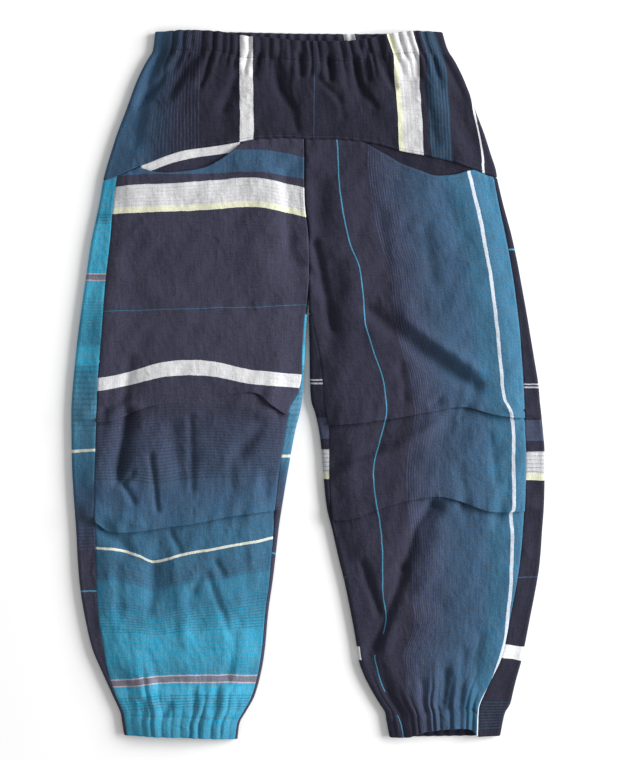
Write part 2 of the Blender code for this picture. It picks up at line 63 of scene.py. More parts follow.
# How the cloth lies, as the solids have it: rounded side folds, and a front standing off the back.
FOLD_RADIUS = 5.0
LOFT = 8.0
LOFT_REACH = 38.0
FOLD_FREE_EDGE = 14.0
FREE_EDGE = 2.0
CROTCH_DOWN = 368.0
CROTCH_RISE = 12.0
CROTCH_SPREAD = 1.5
SEAM_GAP = 0.44
YOKE_SEAM_INSET = 6.6
BACK_YOKE_DOWN = 184.0

# Casings and their gathers.
WAIST_GATHERS = 29
ANKLE_GATHERS = 10
CASING_HEIGHT = 27.0
HEM_CASING_HEIGHT = 26.0
SIDE_FADE = 0.055

# Knee tucks.
TUCK_SWELL = 34.0
TUCK_SINK = 30.0
TUCK_SINK_SHARE = 0.35
TUCK_HALF = 14.0
TUCK_OVERHANG = 0.85
TUCK_FULL_STEP = 4.0
TUCK_GAIN = 1.35
CREASE_GAIN = 1.7

# Stitch lines, seam allowances, and rows of a casing's turned-in cloth.
SEAM_STITCH_IN = 3.6
EDGE_STITCH_IN = 5.0
ALLOWANCE = 2.0
ALLOWANCE_SUNK = 1.3
TOP_ALLOWANCE = 1.6
WAIST_TURNED_ROWS = 17
HEM_TURNED_ROWS = 13
GATHER_BEATS = np.arange(-2, 64, 2.0)

# The lapped centre front: where it is stitched to, and where it ends above the crotch.
LAP_STITCHED_DOWN = 340.0
LAP_END_DOWN = 352.0
LAP_FADE = 14.0

# The back panels' usual girth, and the level at which their side folds are first read.
BACK_GIRTH = 340.0
THIGH_DOWN = 250.0
BAG_DEPTH = 120.0
BAG_INSET = 5.0

# The stage, in metres and watts.
FLOOR_HALF = 4.0
FLOOR_DROP = 0.0002
WINDOW_PLACE = (3.5, 0.6, 1.85)
WINDOW_REACH = 3.55
WINDOW_WIDTH = 2.0
WINDOW_LENGTH = 2.8
WINDOW_POWER = 290.0
STUDIO_STRENGTH = 0.5
CAMERA_PLACE = (0.0052, 0.0065, 2.341)
CAMERA_LENS = 85.0
CAMERA_SENSOR = 36.0

# Each piece's cloth before it was sewn, in metres and square metres.
Cut = namedtuple("Cut", "width length area")

Section = namedtuple("Section", "down outer outseam inseam inner")

# The wearer's right leg, at -X: its two side folds and the seams of its front panel. Above the
# crotch, inseam is the centre front seam.
RIGHT_LEG = [
    Section(190, -266, -248, -5, -5),
    Section(225, -272, -253, -4, -4),
    Section(272, -282, -257, 1, 1),
    Section(326, -290, -263, 1, 1),
    Section(368, -296, -266, -3, -1),
    Section(408, -301, -269, -6, -3.5),
    Section(459, -306, -273, -9, -6),
    Section(490, -308, -274, -24, -9.5),
    Section(521, -308, -275, -29, -17),
    Section(571, -307, -277, -37, -26),
    Section(619, -304, -277.5, -42.5, -34),
    Section(646, -302, -276, -44.5, -38),
    Section(711, -298, -275, -49, -45.5),
    Section(753, -292, -273, -54.5, -51.5),
    Section(802, -281, -265, -59, -56),
    Section(833, -268, -260, -64, -61),
    Section(865, -253.5, -249, -73, -70),
    Section(885, -244.5, -240, -84, -81),
    Section(898, -242, -238, -91, -88.5),
    Section(917, -239, -235, -94, -91.5),
]

# The wearer's left leg, at +X.
LEFT_LEG = [
    Section(190, 246, 242, -4, -4),
    Section(224, 254, 248, -3, -3),
    Section(261, 264, 256, 1.5, 1.5),
    Section(292, 271, 262, 2.5, 2.5),
    Section(329, 278, 268, 2, 2),
    Section(368, 285, 273, 3, 1),
    Section(398, 290, 276, 10, 1.5),
    Section(428, 295, 278, 16, 2),
    Section(459, 300, 280, 19, 2.5),
    Section(482, 302, 281, 20, 4.5),
    Section(495, 303.5, 281, 23, 9),
    Section(521, 306, 282, 27, 14.5),
    Section(545, 308, 283, 27.5, 17.5),
    Section(584, 308, 283, 27.5, 20.5),
    Section(620, 307, 281, 30, 24.5),
    Section(646, 305, 279, 34, 31),
    Section(688, 302, 275, 43.5, 40.5),
    Section(716, 298, 271, 50.5, 47.5),
    Section(763, 289, 262, 60, 57),
    Section(794, 283, 256, 65.5, 62.5),
    Section(818, 278, 249, 69, 66),
    Section(839, 272, 239, 77, 73.5),
    Section(859, 267, 229, 87, 84),
    Section(875, 263, 222, 97, 93.5),
    Section(885, 257, 221, 103, 100),
    Section(896, 254, 220.5, 105, 102),
    Section(917, 250, 220, 109, 106),
]

# Side edges of the hips, where the front meets the back.
Hip = namedtuple("Hip", "down right left")
HIPS = [
    Hip(0, -199, 175), Hip(18, -201, 180), Hip(27, -203, 184), Hip(36, -209, 190),
    Hip(53, -218, 199), Hip(69, -225, 206), Hip(87, -231.5, 213), Hip(105, -238, 219),
    Hip(131, -248, 229), Hip(159, -257, 238), Hip(179, -263, 244.5), Hip(195, -267, 247),
    Hip(230, -273, 255),
]

# Lines across the garment: x across it, and how far down the line lies there.
Mark = namedtuple("Mark", "x down")
FRONT_WAIST_EDGE = [
    Mark(-199, 1), Mark(-136, 1), Mark(-109, 3), Mark(-86, 8), Mark(-44, 11), Mark(-5, 14.5),
    Mark(35, 15), Mark(66, 13.5), Mark(101, 6.5), Mark(120, 3), Mark(156, 1), Mark(175, 1.5),
]
BACK_WAIST_EDGE = [Mark(-199, 0), Mark(-100, 1), Mark(0, 3), Mark(110, 3), Mark(175, 0)]
YOKE_SEAM = [
    Mark(-267, 195), Mark(-246, 188), Mark(-222, 178), Mark(-211, 174), Mark(-183, 163),
    Mark(-160, 156), Mark(-125, 151), Mark(-104, 148), Mark(-86, 144.5), Mark(-69, 141.5),
    Mark(-21, 140), Mark(0, 141.5), Mark(37, 142), Mark(72, 145), Mark(98, 150),
    Mark(119, 156.5), Mark(150, 162.5), Mark(183, 169.5), Mark(205, 177), Mark(216, 180.5),
    Mark(231, 186), Mark(247, 191),
]

# Pocket mouths: how far the free edge of the front leg dips below the yoke seam.
RIGHT_MOUTH = [
    Mark(-222, 0), Mark(-211, 6), Mark(-203, 12), Mark(-183, 21.5), Mark(-160, 26.5),
    Mark(-137, 26), Mark(-118, 20), Mark(-102, 11.5), Mark(-90, 4.5), Mark(-83, 0),
]
LEFT_MOUTH = [
    Mark(72, 0), Mark(87, 6), Mark(107, 12), Mark(127, 17), Mark(149, 21), Mark(162, 23),
    Mark(173, 21.5), Mark(190, 15.5), Mark(205, 6), Mark(216, 0),
]

# Tucks sewn across the knees: share of the way from outseam to inseam, how far down the fold
# lies there, and how high the upper cloth stands over the lower.
Tuck = namedtuple("Tuck", "share down step")
RIGHT_UPPER_TUCK = [
    Tuck(0, 506, 3.2), Tuck(0.1, 502, 4.2), Tuck(0.19, 492, 3.5), Tuck(0.34, 484, 0),
    Tuck(0.6, 476, 0), Tuck(0.78, 468, 2), Tuck(0.9, 482, 4), Tuck(1, 497, 3.2),
]
RIGHT_LOWER_TUCK = [
    Tuck(0, 634, 3.6), Tuck(0.08, 646, 4.5), Tuck(0.25, 646, 3.8), Tuck(0.36, 643, 3.2),
    Tuck(0.6, 634, 4), Tuck(0.74, 627, 4), Tuck(1, 620, 3.2),
]
LEFT_UPPER_TUCK = [
    Tuck(0, 500, 3.2), Tuck(0.07, 498, 4.2), Tuck(0.15, 495, 4.8), Tuck(0.3, 486, 3),
    Tuck(0.48, 494, 1.5), Tuck(0.66, 500, 3.6), Tuck(0.85, 506, 4), Tuck(1, 510, 3),
]
LEFT_LOWER_TUCK = [
    Tuck(0, 621, 3.2), Tuck(0.18, 620, 4.2), Tuck(0.35, 606, 3.8), Tuck(0.45, 602, 3),
    Tuck(0.58, 606, 3), Tuck(0.77, 619, 3.4), Tuck(0.88, 629, 4), Tuck(1, 634, 3),
]

# Bottom edges of the legs, by share from outseam to inseam.
Edge = namedtuple("Edge", "share down")
RIGHT_FRONT_HEM = [Edge(0, 914), Edge(0.5, 915.5), Edge(1, 919)]
RIGHT_BACK_HEM = [Edge(0, 914), Edge(0.5, 916), Edge(1, 919)]
LEFT_FRONT_HEM = [
    Edge(0, 915), Edge(0.08, 905), Edge(0.4, 905), Edge(0.62, 909), Edge(0.82, 916), Edge(1, 917),
]
LEFT_BACK_HEM = [Edge(0, 915), Edge(0.5, 916), Edge(1, 917)]

# The largest folds of the front: a line from one place to another, half its width, and its rise.
Fold = namedtuple("Fold", "x down to_x to_down width rise")
FOLDS = [
    Fold(-192, 25, -222, 92, 11, -4.8),
    Fold(-160, 42, -203, 98, 11, -4.8),
    Fold(-142, 24, -174, 80, 10, -3.6),
    Fold(-91, 78, -113, 112, 12, -3.9),
    Fold(-113, 112, -102, 136, 11, -3.0),
    Fold(-42, 48, -21, 125, 11, -3.9),
    Fold(29, 36, 30, 72, 9, -3.3),
    Fold(18, 50, 46, 108, 11, 3.3),
    Fold(62, 38, 69, 94, 11, -4.5),
    Fold(69, 94, 88, 114, 11, -3.9),
    Fold(177, 80, 216, 152, 12, -3.6),
    Fold(150, 50, 176, 140, 14, 2.7),
    Fold(-60, 160, -56, 350, 24, 3.9),
    Fold(-19, 172, -15, 337, 14, -3.0),
    Fold(-226, 250, -234, 402, 20, -2.1),
    Fold(-210, 464, -130, 446, 26, 3.9),
    Fold(-230, 494, -248, 580, 12, -6.6),
    Fold(-100, 476, -46, 500, 16, 3.6),
    Fold(-165, 548, -98, 584, 26, -3.0),
    Fold(-196, 655, -197, 742, 15, -3.6),
    Fold(-120, 700, -100, 830, 20, 2.7),
    Fold(-225, 770, -205, 850, 18, 2.7),
    Fold(14, 190, 18, 350, 13, -3.9),
    Fold(40, 200, 62, 350, 18, 3.3),
    Fold(38, 300, 30, 420, 13, -4.8),
    Fold(82, 366, 124, 380, 15, -3.6),
    Fold(110, 350, 156, 398, 15, 3.0),
    Fold(156, 398, 222, 444, 15, 3.9),
    Fold(133, 410, 236, 478, 14, -4.2),
    Fold(173, 204, 205, 292, 16, -3.0),
    Fold(44, 566, 166, 514, 15, 3.9),
    Fold(60, 585, 150, 560, 16, -2.7),
    Fold(164, 614, 132, 672, 13, -6.6),
    Fold(132, 672, 104, 744, 14, -4.8),
    Fold(176, 640, 152, 724, 16, 3.3),
    Fold(74, 700, 95, 762, 12, -4.8),
    Fold(95, 762, 80, 812, 12, -4.8),
    Fold(80, 812, 122, 890, 12, -4.5),
    Fold(128, 766, 104, 828, 14, -3.6),
    Fold(177, 820, 176, 884, 12, -3.9),
]

# Narrow creases that only the cloth shows, in the same columns.
CREASES = [
    Fold(-233, 488, -248, 588, 6, -5.2),
    Fold(-232, 474, -268, 495, 6, -2.8),
    Fold(-204, 548, -195, 624, 4, -2.8),
    Fold(-240, 587, -224, 614, 4, -2.8),
    Fold(-224, 571, -242, 589, 4, -2.2),
    Fold(-152, 497, -150, 598, 5, -2.0),
    Fold(-177, 508, -166, 592, 12, -3.4),
    Fold(-54, 504, -94, 552, 10, -3.2),
    Fold(-56, 568, -56, 610, 8, -2.8),
    Fold(-271, 634, -229, 678, 9, -3.4),
    Fold(-180, 646, -166, 677, 5, -2.0),
    Fold(-121, 686, -109, 708, 5, -2.2),
    Fold(-66, 500, -40, 494, 5, 2.0),
    Fold(-230, 420, -238, 470, 8, -1.8),
    Fold(-30, 180, -24, 300, 7, -1.8),
    Fold(-200, 690, -206, 760, 8, -2.4),
    Fold(-165, 720, -158, 800, 9, 2.0),
    Fold(-90, 760, -104, 850, 7, -2.0),
    Fold(73, 357, 101, 381, 8, -3.2),
    Fold(101, 381, 156, 420, 9, -3.4),
    Fold(156, 420, 222, 465, 9, -3.4),
    Fold(122, 372, 178, 412, 8, 2.4),
    Fold(178, 412, 227, 446, 8, 2.4),
    Fold(7, 271, 22, 336, 6, -3.8),
    Fold(22, 336, 33, 390, 6, -3.8),
    Fold(21, 578, 101, 552, 9, 2.4),
    Fold(101, 552, 173, 505, 9, 2.6),
    Fold(30, 566, 96, 540, 7, -2.0),
    Fold(165, 610, 138, 643, 6, -4.0),
    Fold(138, 643, 133, 677, 6, -3.6),
    Fold(133, 677, 120, 699, 6, -3.2),
    Fold(127, 696, 86, 805, 6, -3.6),
    Fold(69, 687, 95, 761, 5, -2.8),
    Fold(196, 560, 206, 640, 8, -1.8),
    Fold(150, 250, 162, 330, 9, -1.8),
    Fold(92, 230, 104, 310, 8, -1.6),
    Fold(-99, 549, -99, 596, 5, -1.0),
    Fold(-241, 632, -210, 642, 6, 1.6),
    Fold(-136, 703, -152, 731, 6, -1.8),
    Fold(-132, 700, -99, 786, 5, -1.8),
    Fold(-247, 690, -244, 765, 7, -1.4),
    Fold(-214, 866, -210, 888, 5, -2.4),
    Fold(-179, 872, -188, 890, 5, -2.2),
    Fold(-150, 850, -146, 888, 6, -1.8),
    Fold(-118, 846, -124, 888, 6, -1.8),
    Fold(-236, 838, -226, 884, 6, -1.6),
    Fold(-174, 668, -172, 716, 6, 1.3),
    Fold(-84, 660, -76, 740, 8, -1.4),
    Fold(-212, 800, -190, 852, 6, -1.2),
    Fold(179, 828, 175, 876, 5, -2.0),
    Fold(202, 800, 196, 872, 6, -1.5),
    Fold(224, 780, 214, 850, 6, -1.3),
    Fold(148, 840, 152, 884, 5, -2.0),
    Fold(160, 612, 172, 620, 6, -2.6),
    Fold(206, 484, 196, 506, 4, -1.4),
    Fold(158, 486, 172, 478, 5, -2.4),
    Fold(255, 488, 266, 496, 3, 1.8),
    Fold(236, 520, 244, 590, 6, -1.2),
    Fold(120, 430, 126, 482, 5, -1.2),
    Fold(2, 306, 9, 326, 5, -2.4),
    Fold(-157, 27, -226, 102, 6, -2.8),
    Fold(-199, 27, -227, 93, 5, -2.6),
    Fold(-149, 35, -180, 88, 5, -2.4),
    Fold(-124, 32, -140, 74, 4, -1.8),
    Fold(-88, 50, -113, 106, 6, -2.2),
    Fold(-64, 30, -70, 60, 3.5, -2.0),
    Fold(-47, 32, -36, 79, 5, -2.8),
    Fold(-36, 79, -18, 102, 5, -2.4),
    Fold(-18, 102, -14, 132, 5, -2.0),
    Fold(-12, 29, -9, 60, 4, -2.6),
    Fold(11, 60, 43, 92, 5, -2.2),
    Fold(43, 92, 46, 116, 5, -1.8),
    Fold(26, 34, 29, 66, 4, -2.8),
    Fold(60, 34, 66, 74, 4.5, -3.2),
    Fold(66, 74, 89, 100, 5, -2.6),
    Fold(76, 24, 79, 66, 4, -2.6),
    Fold(87, 30, 113, 76, 5, -2.6),
    Fold(138, 30, 142, 62, 4, -2.0),
    Fold(162, 34, 172, 76, 4.5, -2.6),
    Fold(174, 28, 210, 90, 6, -3.0),
    Fold(150, 66, 166, 150, 6, -1.6),
    Fold(-206, 70, -226, 150, 7, -1.6),
]


def ease(value):
    """A smooth step from 0 to 1."""
    t = np.clip(value, 0.0, 1.0)
    return t * t * (3 - 2 * t)


def mix(start, end, share):
    return start + (end - start) * share


def curve(points):
    """A smooth function through (position, value) points, flat beyond its ends."""
    places, values = np.array(sorted(points), float).T
    before = np.maximum(np.arange(len(places)) - 1, 0)
    after = np.minimum(before + 2, len(places) - 1)
    after[0] = 1
    slopes = (values[after] - values[before]) / (places[after] - places[before])

    def at(position):
        position = np.clip(position, places[0], places[-1])
        i = np.clip(np.searchsorted(places, position, side="right") - 1, 0, len(places) - 2)
        width = places[i + 1] - places[i]
        t = (position - places[i]) / width
        start = (1 + 2 * t) * (1 - t) ** 2 * values[i] + t * (1 - t) ** 2 * width * slopes[i]
        end = t * t * (3 - 2 * t) * values[i + 1] + t * t * (t - 1) * width * slopes[i + 1]
        return start + end

    return at


def column(table, name, key="down"):
    """The smooth function of one column of a table."""
    return curve([(getattr(row, key), getattr(row, name)) for row in table])


hip_right = column(HIPS, "right")
hip_left = column(HIPS, "left")
front_waist = column(FRONT_WAIST_EDGE, "down", "x")
back_waist = column(BACK_WAIST_EDGE, "down", "x")
yoke_seam = column(YOKE_SEAM, "down", "x")


def back_yoke_seam(x):
    """The yoke seam on the back: the front's line up to the side seams, and a flatter one between."""
    right, left = YOKE_SEAM[0].x + YOKE_SEAM_INSET, YOKE_SEAM[-1].x - YOKE_SEAM_INSET
    ends = [(right, yoke_seam(right)), ((right + left) / 2, BACK_YOKE_DOWN), (left, yoke_seam(left))]
    return np.where((x > right) & (x < left), curve(ends)(x), yoke_seam(x))


class Leg:
    """One leg's lines, read from its tables. side is -1 for the wearer's right and 1 for the left."""

    def __init__(self, side, sections, mouth, tucks, front_hem, back_hem):
        self.side = side
        self.hip = hip_right if side < 0 else hip_left
        self.outer_fold = column(sections, "outer")
        self.outseam = column(sections, "outseam")
        self.inseam = column(sections, "inseam")
        self.inner_fold = column(sections, "inner")
        self.mouth = column(mouth, "down", "x")
        self.mouth_ends = (mouth[0].x, mouth[-1].x)
        self.tuck_lines = [column(tuck, "down", "share") for tuck in tucks]
        self.tuck_steps = [column(tuck, "step", "share") for tuck in tucks]
        self.front_hem = column(front_hem, "down", "share")
        self.back_hem = column(back_hem, "down", "share")

    def dip(self, x):
        """How far the pocket mouth's free edge lies below the yoke seam."""
        return np.maximum(self.mouth(x), 0.0)

    def along_yoke(self, share):
        """x on the yoke seam at a share of the way from outseam to inseam."""
        below_yoke = YOKE_SEAM[0].down
        return mix(self.outseam(below_yoke), self.inseam(below_yoke), share)


RIGHT_TUCKS = (RIGHT_UPPER_TUCK, RIGHT_LOWER_TUCK)
LEFT_TUCKS = (LEFT_UPPER_TUCK, LEFT_LOWER_TUCK)
RIGHT = Leg(-1, RIGHT_LEG, RIGHT_MOUTH, RIGHT_TUCKS, RIGHT_FRONT_HEM, RIGHT_BACK_HEM)
LEFT = Leg(1, LEFT_LEG, LEFT_MOUTH, LEFT_TUCKS, LEFT_FRONT_HEM, LEFT_BACK_HEM)


def fold_height(folds, x, down):
    """The sum of the folds at each place on the front. A fold fades round its two ends."""
    total = np.zeros(np.broadcast(x, down).shape)
    for fold in folds:
        to_x, to_down = fold.to_x - fold.x, fold.to_down - fold.down
        length = math.hypot(to_x, to_down)
        along = ((x - fold.x) * to_x + (down - fold.down) * to_down) / length
        across = ((x - fold.x) * to_down - (down - fold.down) * to_x) / length
        start = ease(0.5 + along / (2 * fold.width))
        stop = ease(0.5 + (length - along) / (2 * fold.width))
        total += fold.rise * start * stop * np.exp(-((across / fold.width) ** 2))
    return total


def edge_distance(leg, x, down):
    """How far each place lies in from the nearest side fold of the cloth."""
    outer_fold = np.where(down > YOKE_SEAM[0].down, leg.outer_fold(down), leg.hip(down))
    above_crotch = np.maximum(0.0, CROTCH_DOWN - down)
    inner = np.hypot(x - leg.inner_fold(down), CROTCH_SPREAD * above_crotch)
    return np.minimum(np.abs(outer_fold - x), inner)


def cloth_top(leg, x, down):
    """The height of the front's outer face over the ground, as the solids have it."""
    inset = edge_distance(leg, x, down)
    clear = np.maximum(inset - FOLD_RADIUS, 0.0)
    short = np.clip(FOLD_RADIUS - inset, 0.0, FOLD_RADIUS)
    round_fold = FOLD_RADIUS + np.sqrt(FOLD_RADIUS**2 - short**2)
    return round_fold + LOFT * ease(clear / LOFT_REACH) + fold_height(FOLDS, x, down) * ease(
        clear / FOLD_FREE_EDGE
    )


def ripples(x, down, length, seed, waves=9):
    """Smooth unevenness, mostly between -1 and 1: waves of about one length in many directions."""
    random = np.random.default_rng(seed)
    total = np.zeros(np.broadcast(x, down).shape)
    for _ in range(waves):
        turn, phase = random.uniform(0, math.pi), random.uniform(0, math.tau)
        stretch = random.uniform(0.7, 1.4)
        reach = math.tau / (length * stretch)
        total += np.sin(reach * (x * math.cos(turn) + down * math.sin(turn)) + phase)
    return total / math.sqrt(waves / 1.2)


def crumple(x, down):
    """Washed cotton's soft swells, with a sparse net of small sharp creases."""
    soft = 0.55 * ripples(x, down, 62, 11) + 0.28 * ripples(x, down, 27, 12)
    net = ripples(x, down, 48, 13)
    sharp = np.exp(-((net / 0.09) ** 2)) * ease(ripples(x, down, 75, 14) * 1.6)
    fine = ripples(x * 1.5, down * 0.7, 11, 15)
    return 1.35 * soft + 0.9 * sharp + 0.13 * fine


def puckers(position, distance, seed):
    """Little gathers along a sewn line, dying away from it."""
    wave = ripples(position, 0 * position, 9.5, seed, 5)
    return 0.55 * wave * np.exp(-np.abs(distance) / 7.5)


class Cloth:
    """Rows and columns of points on a cloth's outer face, and each one's place in the weave, in mm."""

    def __init__(self, x, down, height, across, along, keep=True):
        x, down, height, across, along, keep = np.broadcast_arrays(x, down, height, across, along, keep)
        self.points = np.stack([x, LENGTH / 2 - down, height], axis=-1).astype(float)
        self.woven = np.stack([across, along], axis=-1).astype(float)
        self.keep = keep

    def facing(self):
        """The outward direction at each point."""
        face = np.cross(np.gradient(self.points, axis=0), np.gradient(self.points, axis=1))
        return face / np.maximum(np.linalg.norm(face, axis=-1, keepdims=True), 1e-9)

    def lapped(self, edge, reach, sunk):
        """Adds a seam allowance: one more row or column past an edge, sunk under the cloth beside it."""
        axis = 0 if edge == "top" else 1
        at, before = (-1, -2) if edge == "last" else (0, 1)

        def line(grid, i):
            return np.take(grid, [i], axis=axis)

        def extended(grid, extra):
            return np.concatenate([grid, extra] if at else [extra, grid], axis=axis)

        outward = line(self.points, at) - line(self.points, before)
        length = np.maximum(np.linalg.norm(outward, axis=-1, keepdims=True), 1e-9)
        past = np.clip(reach / length, -5.0, 5.0)
        point = line(self.points, at) + outward / length * reach - line(self.facing(), at) * sunk
        woven = line(self.woven, at) + (line(self.woven, at) - line(self.woven, before)) * past
        self.points, self.woven = extended(self.points, point), extended(self.woven, woven)
        self.keep = extended(self.keep, line(self.keep, at))

    def turned_in(self, rows, gap, at_top=False):
        """Adds a casing's allowance: rows turned over the top or bottom edge, back against the inside."""
        points, woven, keep, face = self.points, self.woven, self.keep, self.facing()
        if at_top:
            points, woven, keep, face = points[::-1], woven[::-1], keep[::-1], face[::-1]
        outward = points[-1] - points[-2]
        outward /= np.maximum(np.linalg.norm(outward, axis=-1, keepdims=True), 1e-9)
        middle = points[-1] - face[-1] * gap / 2
        over = [
            middle + face[-1] * gap / 2 * math.cos(turn) + outward * gap / 2 * math.sin(turn)
            for turn in (math.pi / 4, math.pi / 2, 3 * math.pi / 4)
        ]
        inside = [points[-1 - i] - face[-1 - i] * gap for i in range(rows)]
        back = [woven[-1]] * len(over) + [2 * woven[-1] - woven[-1 - i] for i in range(rows)]
        self.points = np.concatenate([points, over, inside])
        self.woven = np.concatenate([woven, back])
        self.keep = np.concatenate([keep, [keep[-1]] * (len(over) + rows)])
        if at_top:
            self.points, self.woven, self.keep = self.points[::-1], self.woven[::-1], self.keep[::-1]


def cloth_piece(name, cloth, material):
    """A thin cloth object from its points, with a Solidify wall inwards and its weave as a UV map."""
    rows, columns = cloth.points.shape[:2]
    index = np.arange(rows * columns).reshape(rows, columns)
    corners = np.stack([index[:-1, :-1], index[1:, :-1], index[1:, 1:], index[:-1, 1:]], axis=-1)
    corners = corners.reshape(-1, 4)
    corners = corners[cloth.keep.ravel()[corners].all(axis=1)]
    used = np.unique(corners)
    renumber = np.zeros(rows * columns, int)
    renumber[used] = np.arange(len(used))
    corners = renumber[corners]
    mesh = bpy.data.meshes.new(name)
    mesh.from_pydata((cloth.points.reshape(-1, 3)[used] * MM).tolist(), [], corners.tolist())
    woven = cloth.woven.reshape(-1, 2)[used] * MM
    layer = mesh.uv_layers.new(name=WEAVE_MAP)
    layer.uv.foreach_set("vector", woven[corners.ravel()].astype(np.float32).ravel())
    mesh.materials.append(material)
    mesh.shade_smooth()
    piece = bpy.data.objects.new(name, mesh)
    bpy.context.scene.collection.objects.link(piece)
    wall = piece.modifiers.new("Wall", "SOLIDIFY")
    wall.thickness = bpy.context.scene.trouser_sizes.wall
    wall.offset = -1
    wall.use_rim = True
    return piece


# Stripes, by place in the weave. A Tone is a colour that fades to the next. A Band has two clean
# edges, and may be hidden by a fold between places along it. Fine stripes repeat between two places.
Tone = namedtuple("Tone", "at colour")
Band = namedtuple("Band", "start end colour hidden", defaults=[()])
Fine = namedtuple("Fine", "start end pitch share colour strength")

# The wearer's right front, cut across the cloth: places run down the leg.
RIGHT_FRONT_TONES = [
    Tone(150, "navy"), Tone(486, "navy"), Tone(520, "dusk"), Tone(570, "slate"), Tone(612, "harbour"),
    Tone(655, "sea"), Tone(707, "sea"), Tone(714, "sea_blue"), Tone(745, "sea_blue"), Tone(766, "sky_sea"),
    Tone(784, "turquoise"), Tone(815, "turquoise"), Tone(838, "sky_sea"), Tone(858, "bright_turquoise"),
    Tone(920, "sky_sea"),
]
RIGHT_FRONT_BANDS = [
    Band(159, 188, "harbour"), Band(202, 230.7, "silver"), Band(230.7, 238.5, "lemon"),
    Band(363, 363.9, "sea"), Band(450.4, 467.3, "chalk"), Band(669, 672.4, "cream"),
    Band(843.5, 852, "rose_grey"), Band(842, 843.6, "pale_rose"), Band(851, 852.6, "pale_rose"),
]
RIGHT_FRONT_FINE = [
    Fine(493, 584, 3.7, 0.45, "midnight", 0.5), Fine(739, 783, 3.9, 0.3, "deep_teal", 0.45),
    Fine(866, 886, 3.6, 0.35, "deep_teal", 0.5), Fine(202, 230, 4.3, 0.25, "ash", 0.3),
    Fine(690, 712, 5, 0.25, "slate", 0.3),
]

# The wearer's left front, cut along the cloth: places run across from the thin blue line.
LEFT_FRONT_TONES = [
    Tone(-60, "midnight"), Tone(40, "midnight"), Tone(62, "dusk"), Tone(100, "slate_blue"),
    Tone(128, "harbour"), Tone(141, "harbour_teal"), Tone(146, "sea"), Tone(172, "sea"),
    Tone(192, "lagoon"), Tone(225, "lagoon"),
]
LEFT_FRONT_BANDS = [
    Band(-0.75, 0.75, "thread_blue", ((783, 810), (858, 888))), Band(169.6, 174.2, "chalk_blue"),
]
LEFT_FRONT_FINE = [
    Fine(38, 82, 3.3, 0.35, "pale_slate", 0.45), Fine(82, 112, 3.4, 0.45, "navy", 0.2),
    Fine(112, 146, 6.5, 0.5, "slate", 0.25),
]

# The front yoke, cut along the cloth: places run across, as they lie at the yoke seam.
YOKE_TONES = [
    Tone(-280, "harbour"), Tone(-228, "harbour"), Tone(-200, "deep_slate"), Tone(-165, "deep_navy"),
    Tone(-130, "deep_navy"), Tone(260, "deep_navy"),
]
YOKE_BANDS = [
    Band(-88.4, -70.9, "chalk"), Band(7.3, 8.2, "slate"), Band(118.5, 125.5, "lemon"),
    Band(125.5, 150, "silver"), Band(160, 187, "deep_slate"), Band(226.2, 229.4, "chalk"),
]
YOKE_FINE = [
    Fine(-218, -138, 4.6, 0.3, "pale_slate", 0.26), Fine(126, 150, 5, 0.25, "ash", 0.25),
    Fine(160, 187, 4, 0.4, "harbour_teal", 0.4),
]

# The back yoke: places run across, and show inside the casing.
BACK_YOKE_TONES = [Tone(-280, "slate"), Tone(-190, "dusk"), Tone(-150, "midnight"), Tone(260, "midnight")]
BACK_YOKE_BANDS = [
    Band(-127, -109, "cream"), Band(49.4, 66.3, "chalk"), Band(160, 187, "harbour_teal"),
]
BACK_YOKE_FINE = [Fine(-215, -140, 4.6, 0.3, "pale_slate", 0.5)]

# The wearer's right back, cut across the cloth. Its tones from 478 to 505 are painted lighter than the
# cloth's own lagoon: painted light on this side, which lies away from the light.
RIGHT_BACK_TONES = [
    Tone(150, "turquoise"), Tone(232, "turquoise"), Tone(240, "sky_sea"), Tone(252, "bright_turquoise"),
    Tone(345, "bright_turquoise"), Tone(352, "bright_turquoise"), Tone(374, "turquoise"),
    Tone(388, "sky_sea"), Tone(407, "sky_sea"), Tone(412, "bright_turquoise"),
    Tone(432, "bright_turquoise"), Tone(440, "sky_sea"), Tone(478, "sky_lagoon"), Tone(505, "sky_lagoon"),
    Tone(572, "sea"), Tone(600, "harbour"), Tone(622, "slate"), Tone(655, "dusk"), Tone(674, "navy"),
    Tone(920, "navy"),
]
RIGHT_BACK_BANDS = [
    Band(314.6, 324.4, "rose_grey"), Band(314.6, 316.2, "pale_rose"), Band(323, 324.6, "pale_rose"),
    Band(542.7, 546.4, "cream"), Band(726, 728, "thread_blue"),
]
RIGHT_BACK_FINE = [
    Fine(236, 252, 3.6, 0.35, "deep_teal", 0.5), Fine(346, 383, 3.9, 0.32, "deep_teal", 0.28),
    Fine(642, 675, 4.6, 0.3, "pale_slate", 0.45), Fine(430, 520, 7, 0.4, "harbour", 0.3),
]

# The wearer's left back, cut across the cloth.
LEFT_BACK_TONES = [Tone(150, "deep_navy"), Tone(920, "deep_navy")]
LEFT_BACK_BANDS = [
    Band(283, 285, "thread_blue"), Band(457.6, 459.4, "ash"), Band(461.6, 463.6, "ash"),
    Band(505, 532.3, "dusk"), Band(545.8, 574.6, "dull_silver"), Band(574.6, 583, "dull_lemon"),
    Band(708.4, 709.6, "slate"), Band(798, 815.7, "chalk"),
]
LEFT_BACK_FINE = [
    Fine(505, 532, 6.5, 0.35, "navy", 0.5), Fine(546, 574, 5.2, 0.2, "slate", 0.5),
    Fine(869, 908, 3.8, 0.32, "slate_blue", 0.35),
]

# The pocket bags: places run down from the yoke seam.
RIGHT_BAG_TONES = [Tone(0, "midnight"), Tone(130, "midnight")]
RIGHT_BAG_BANDS = [Band(-8, 10.6, "chalk")]
LEFT_BAG_TONES = [Tone(0, "deep_navy"), Tone(130, "deep_navy")]

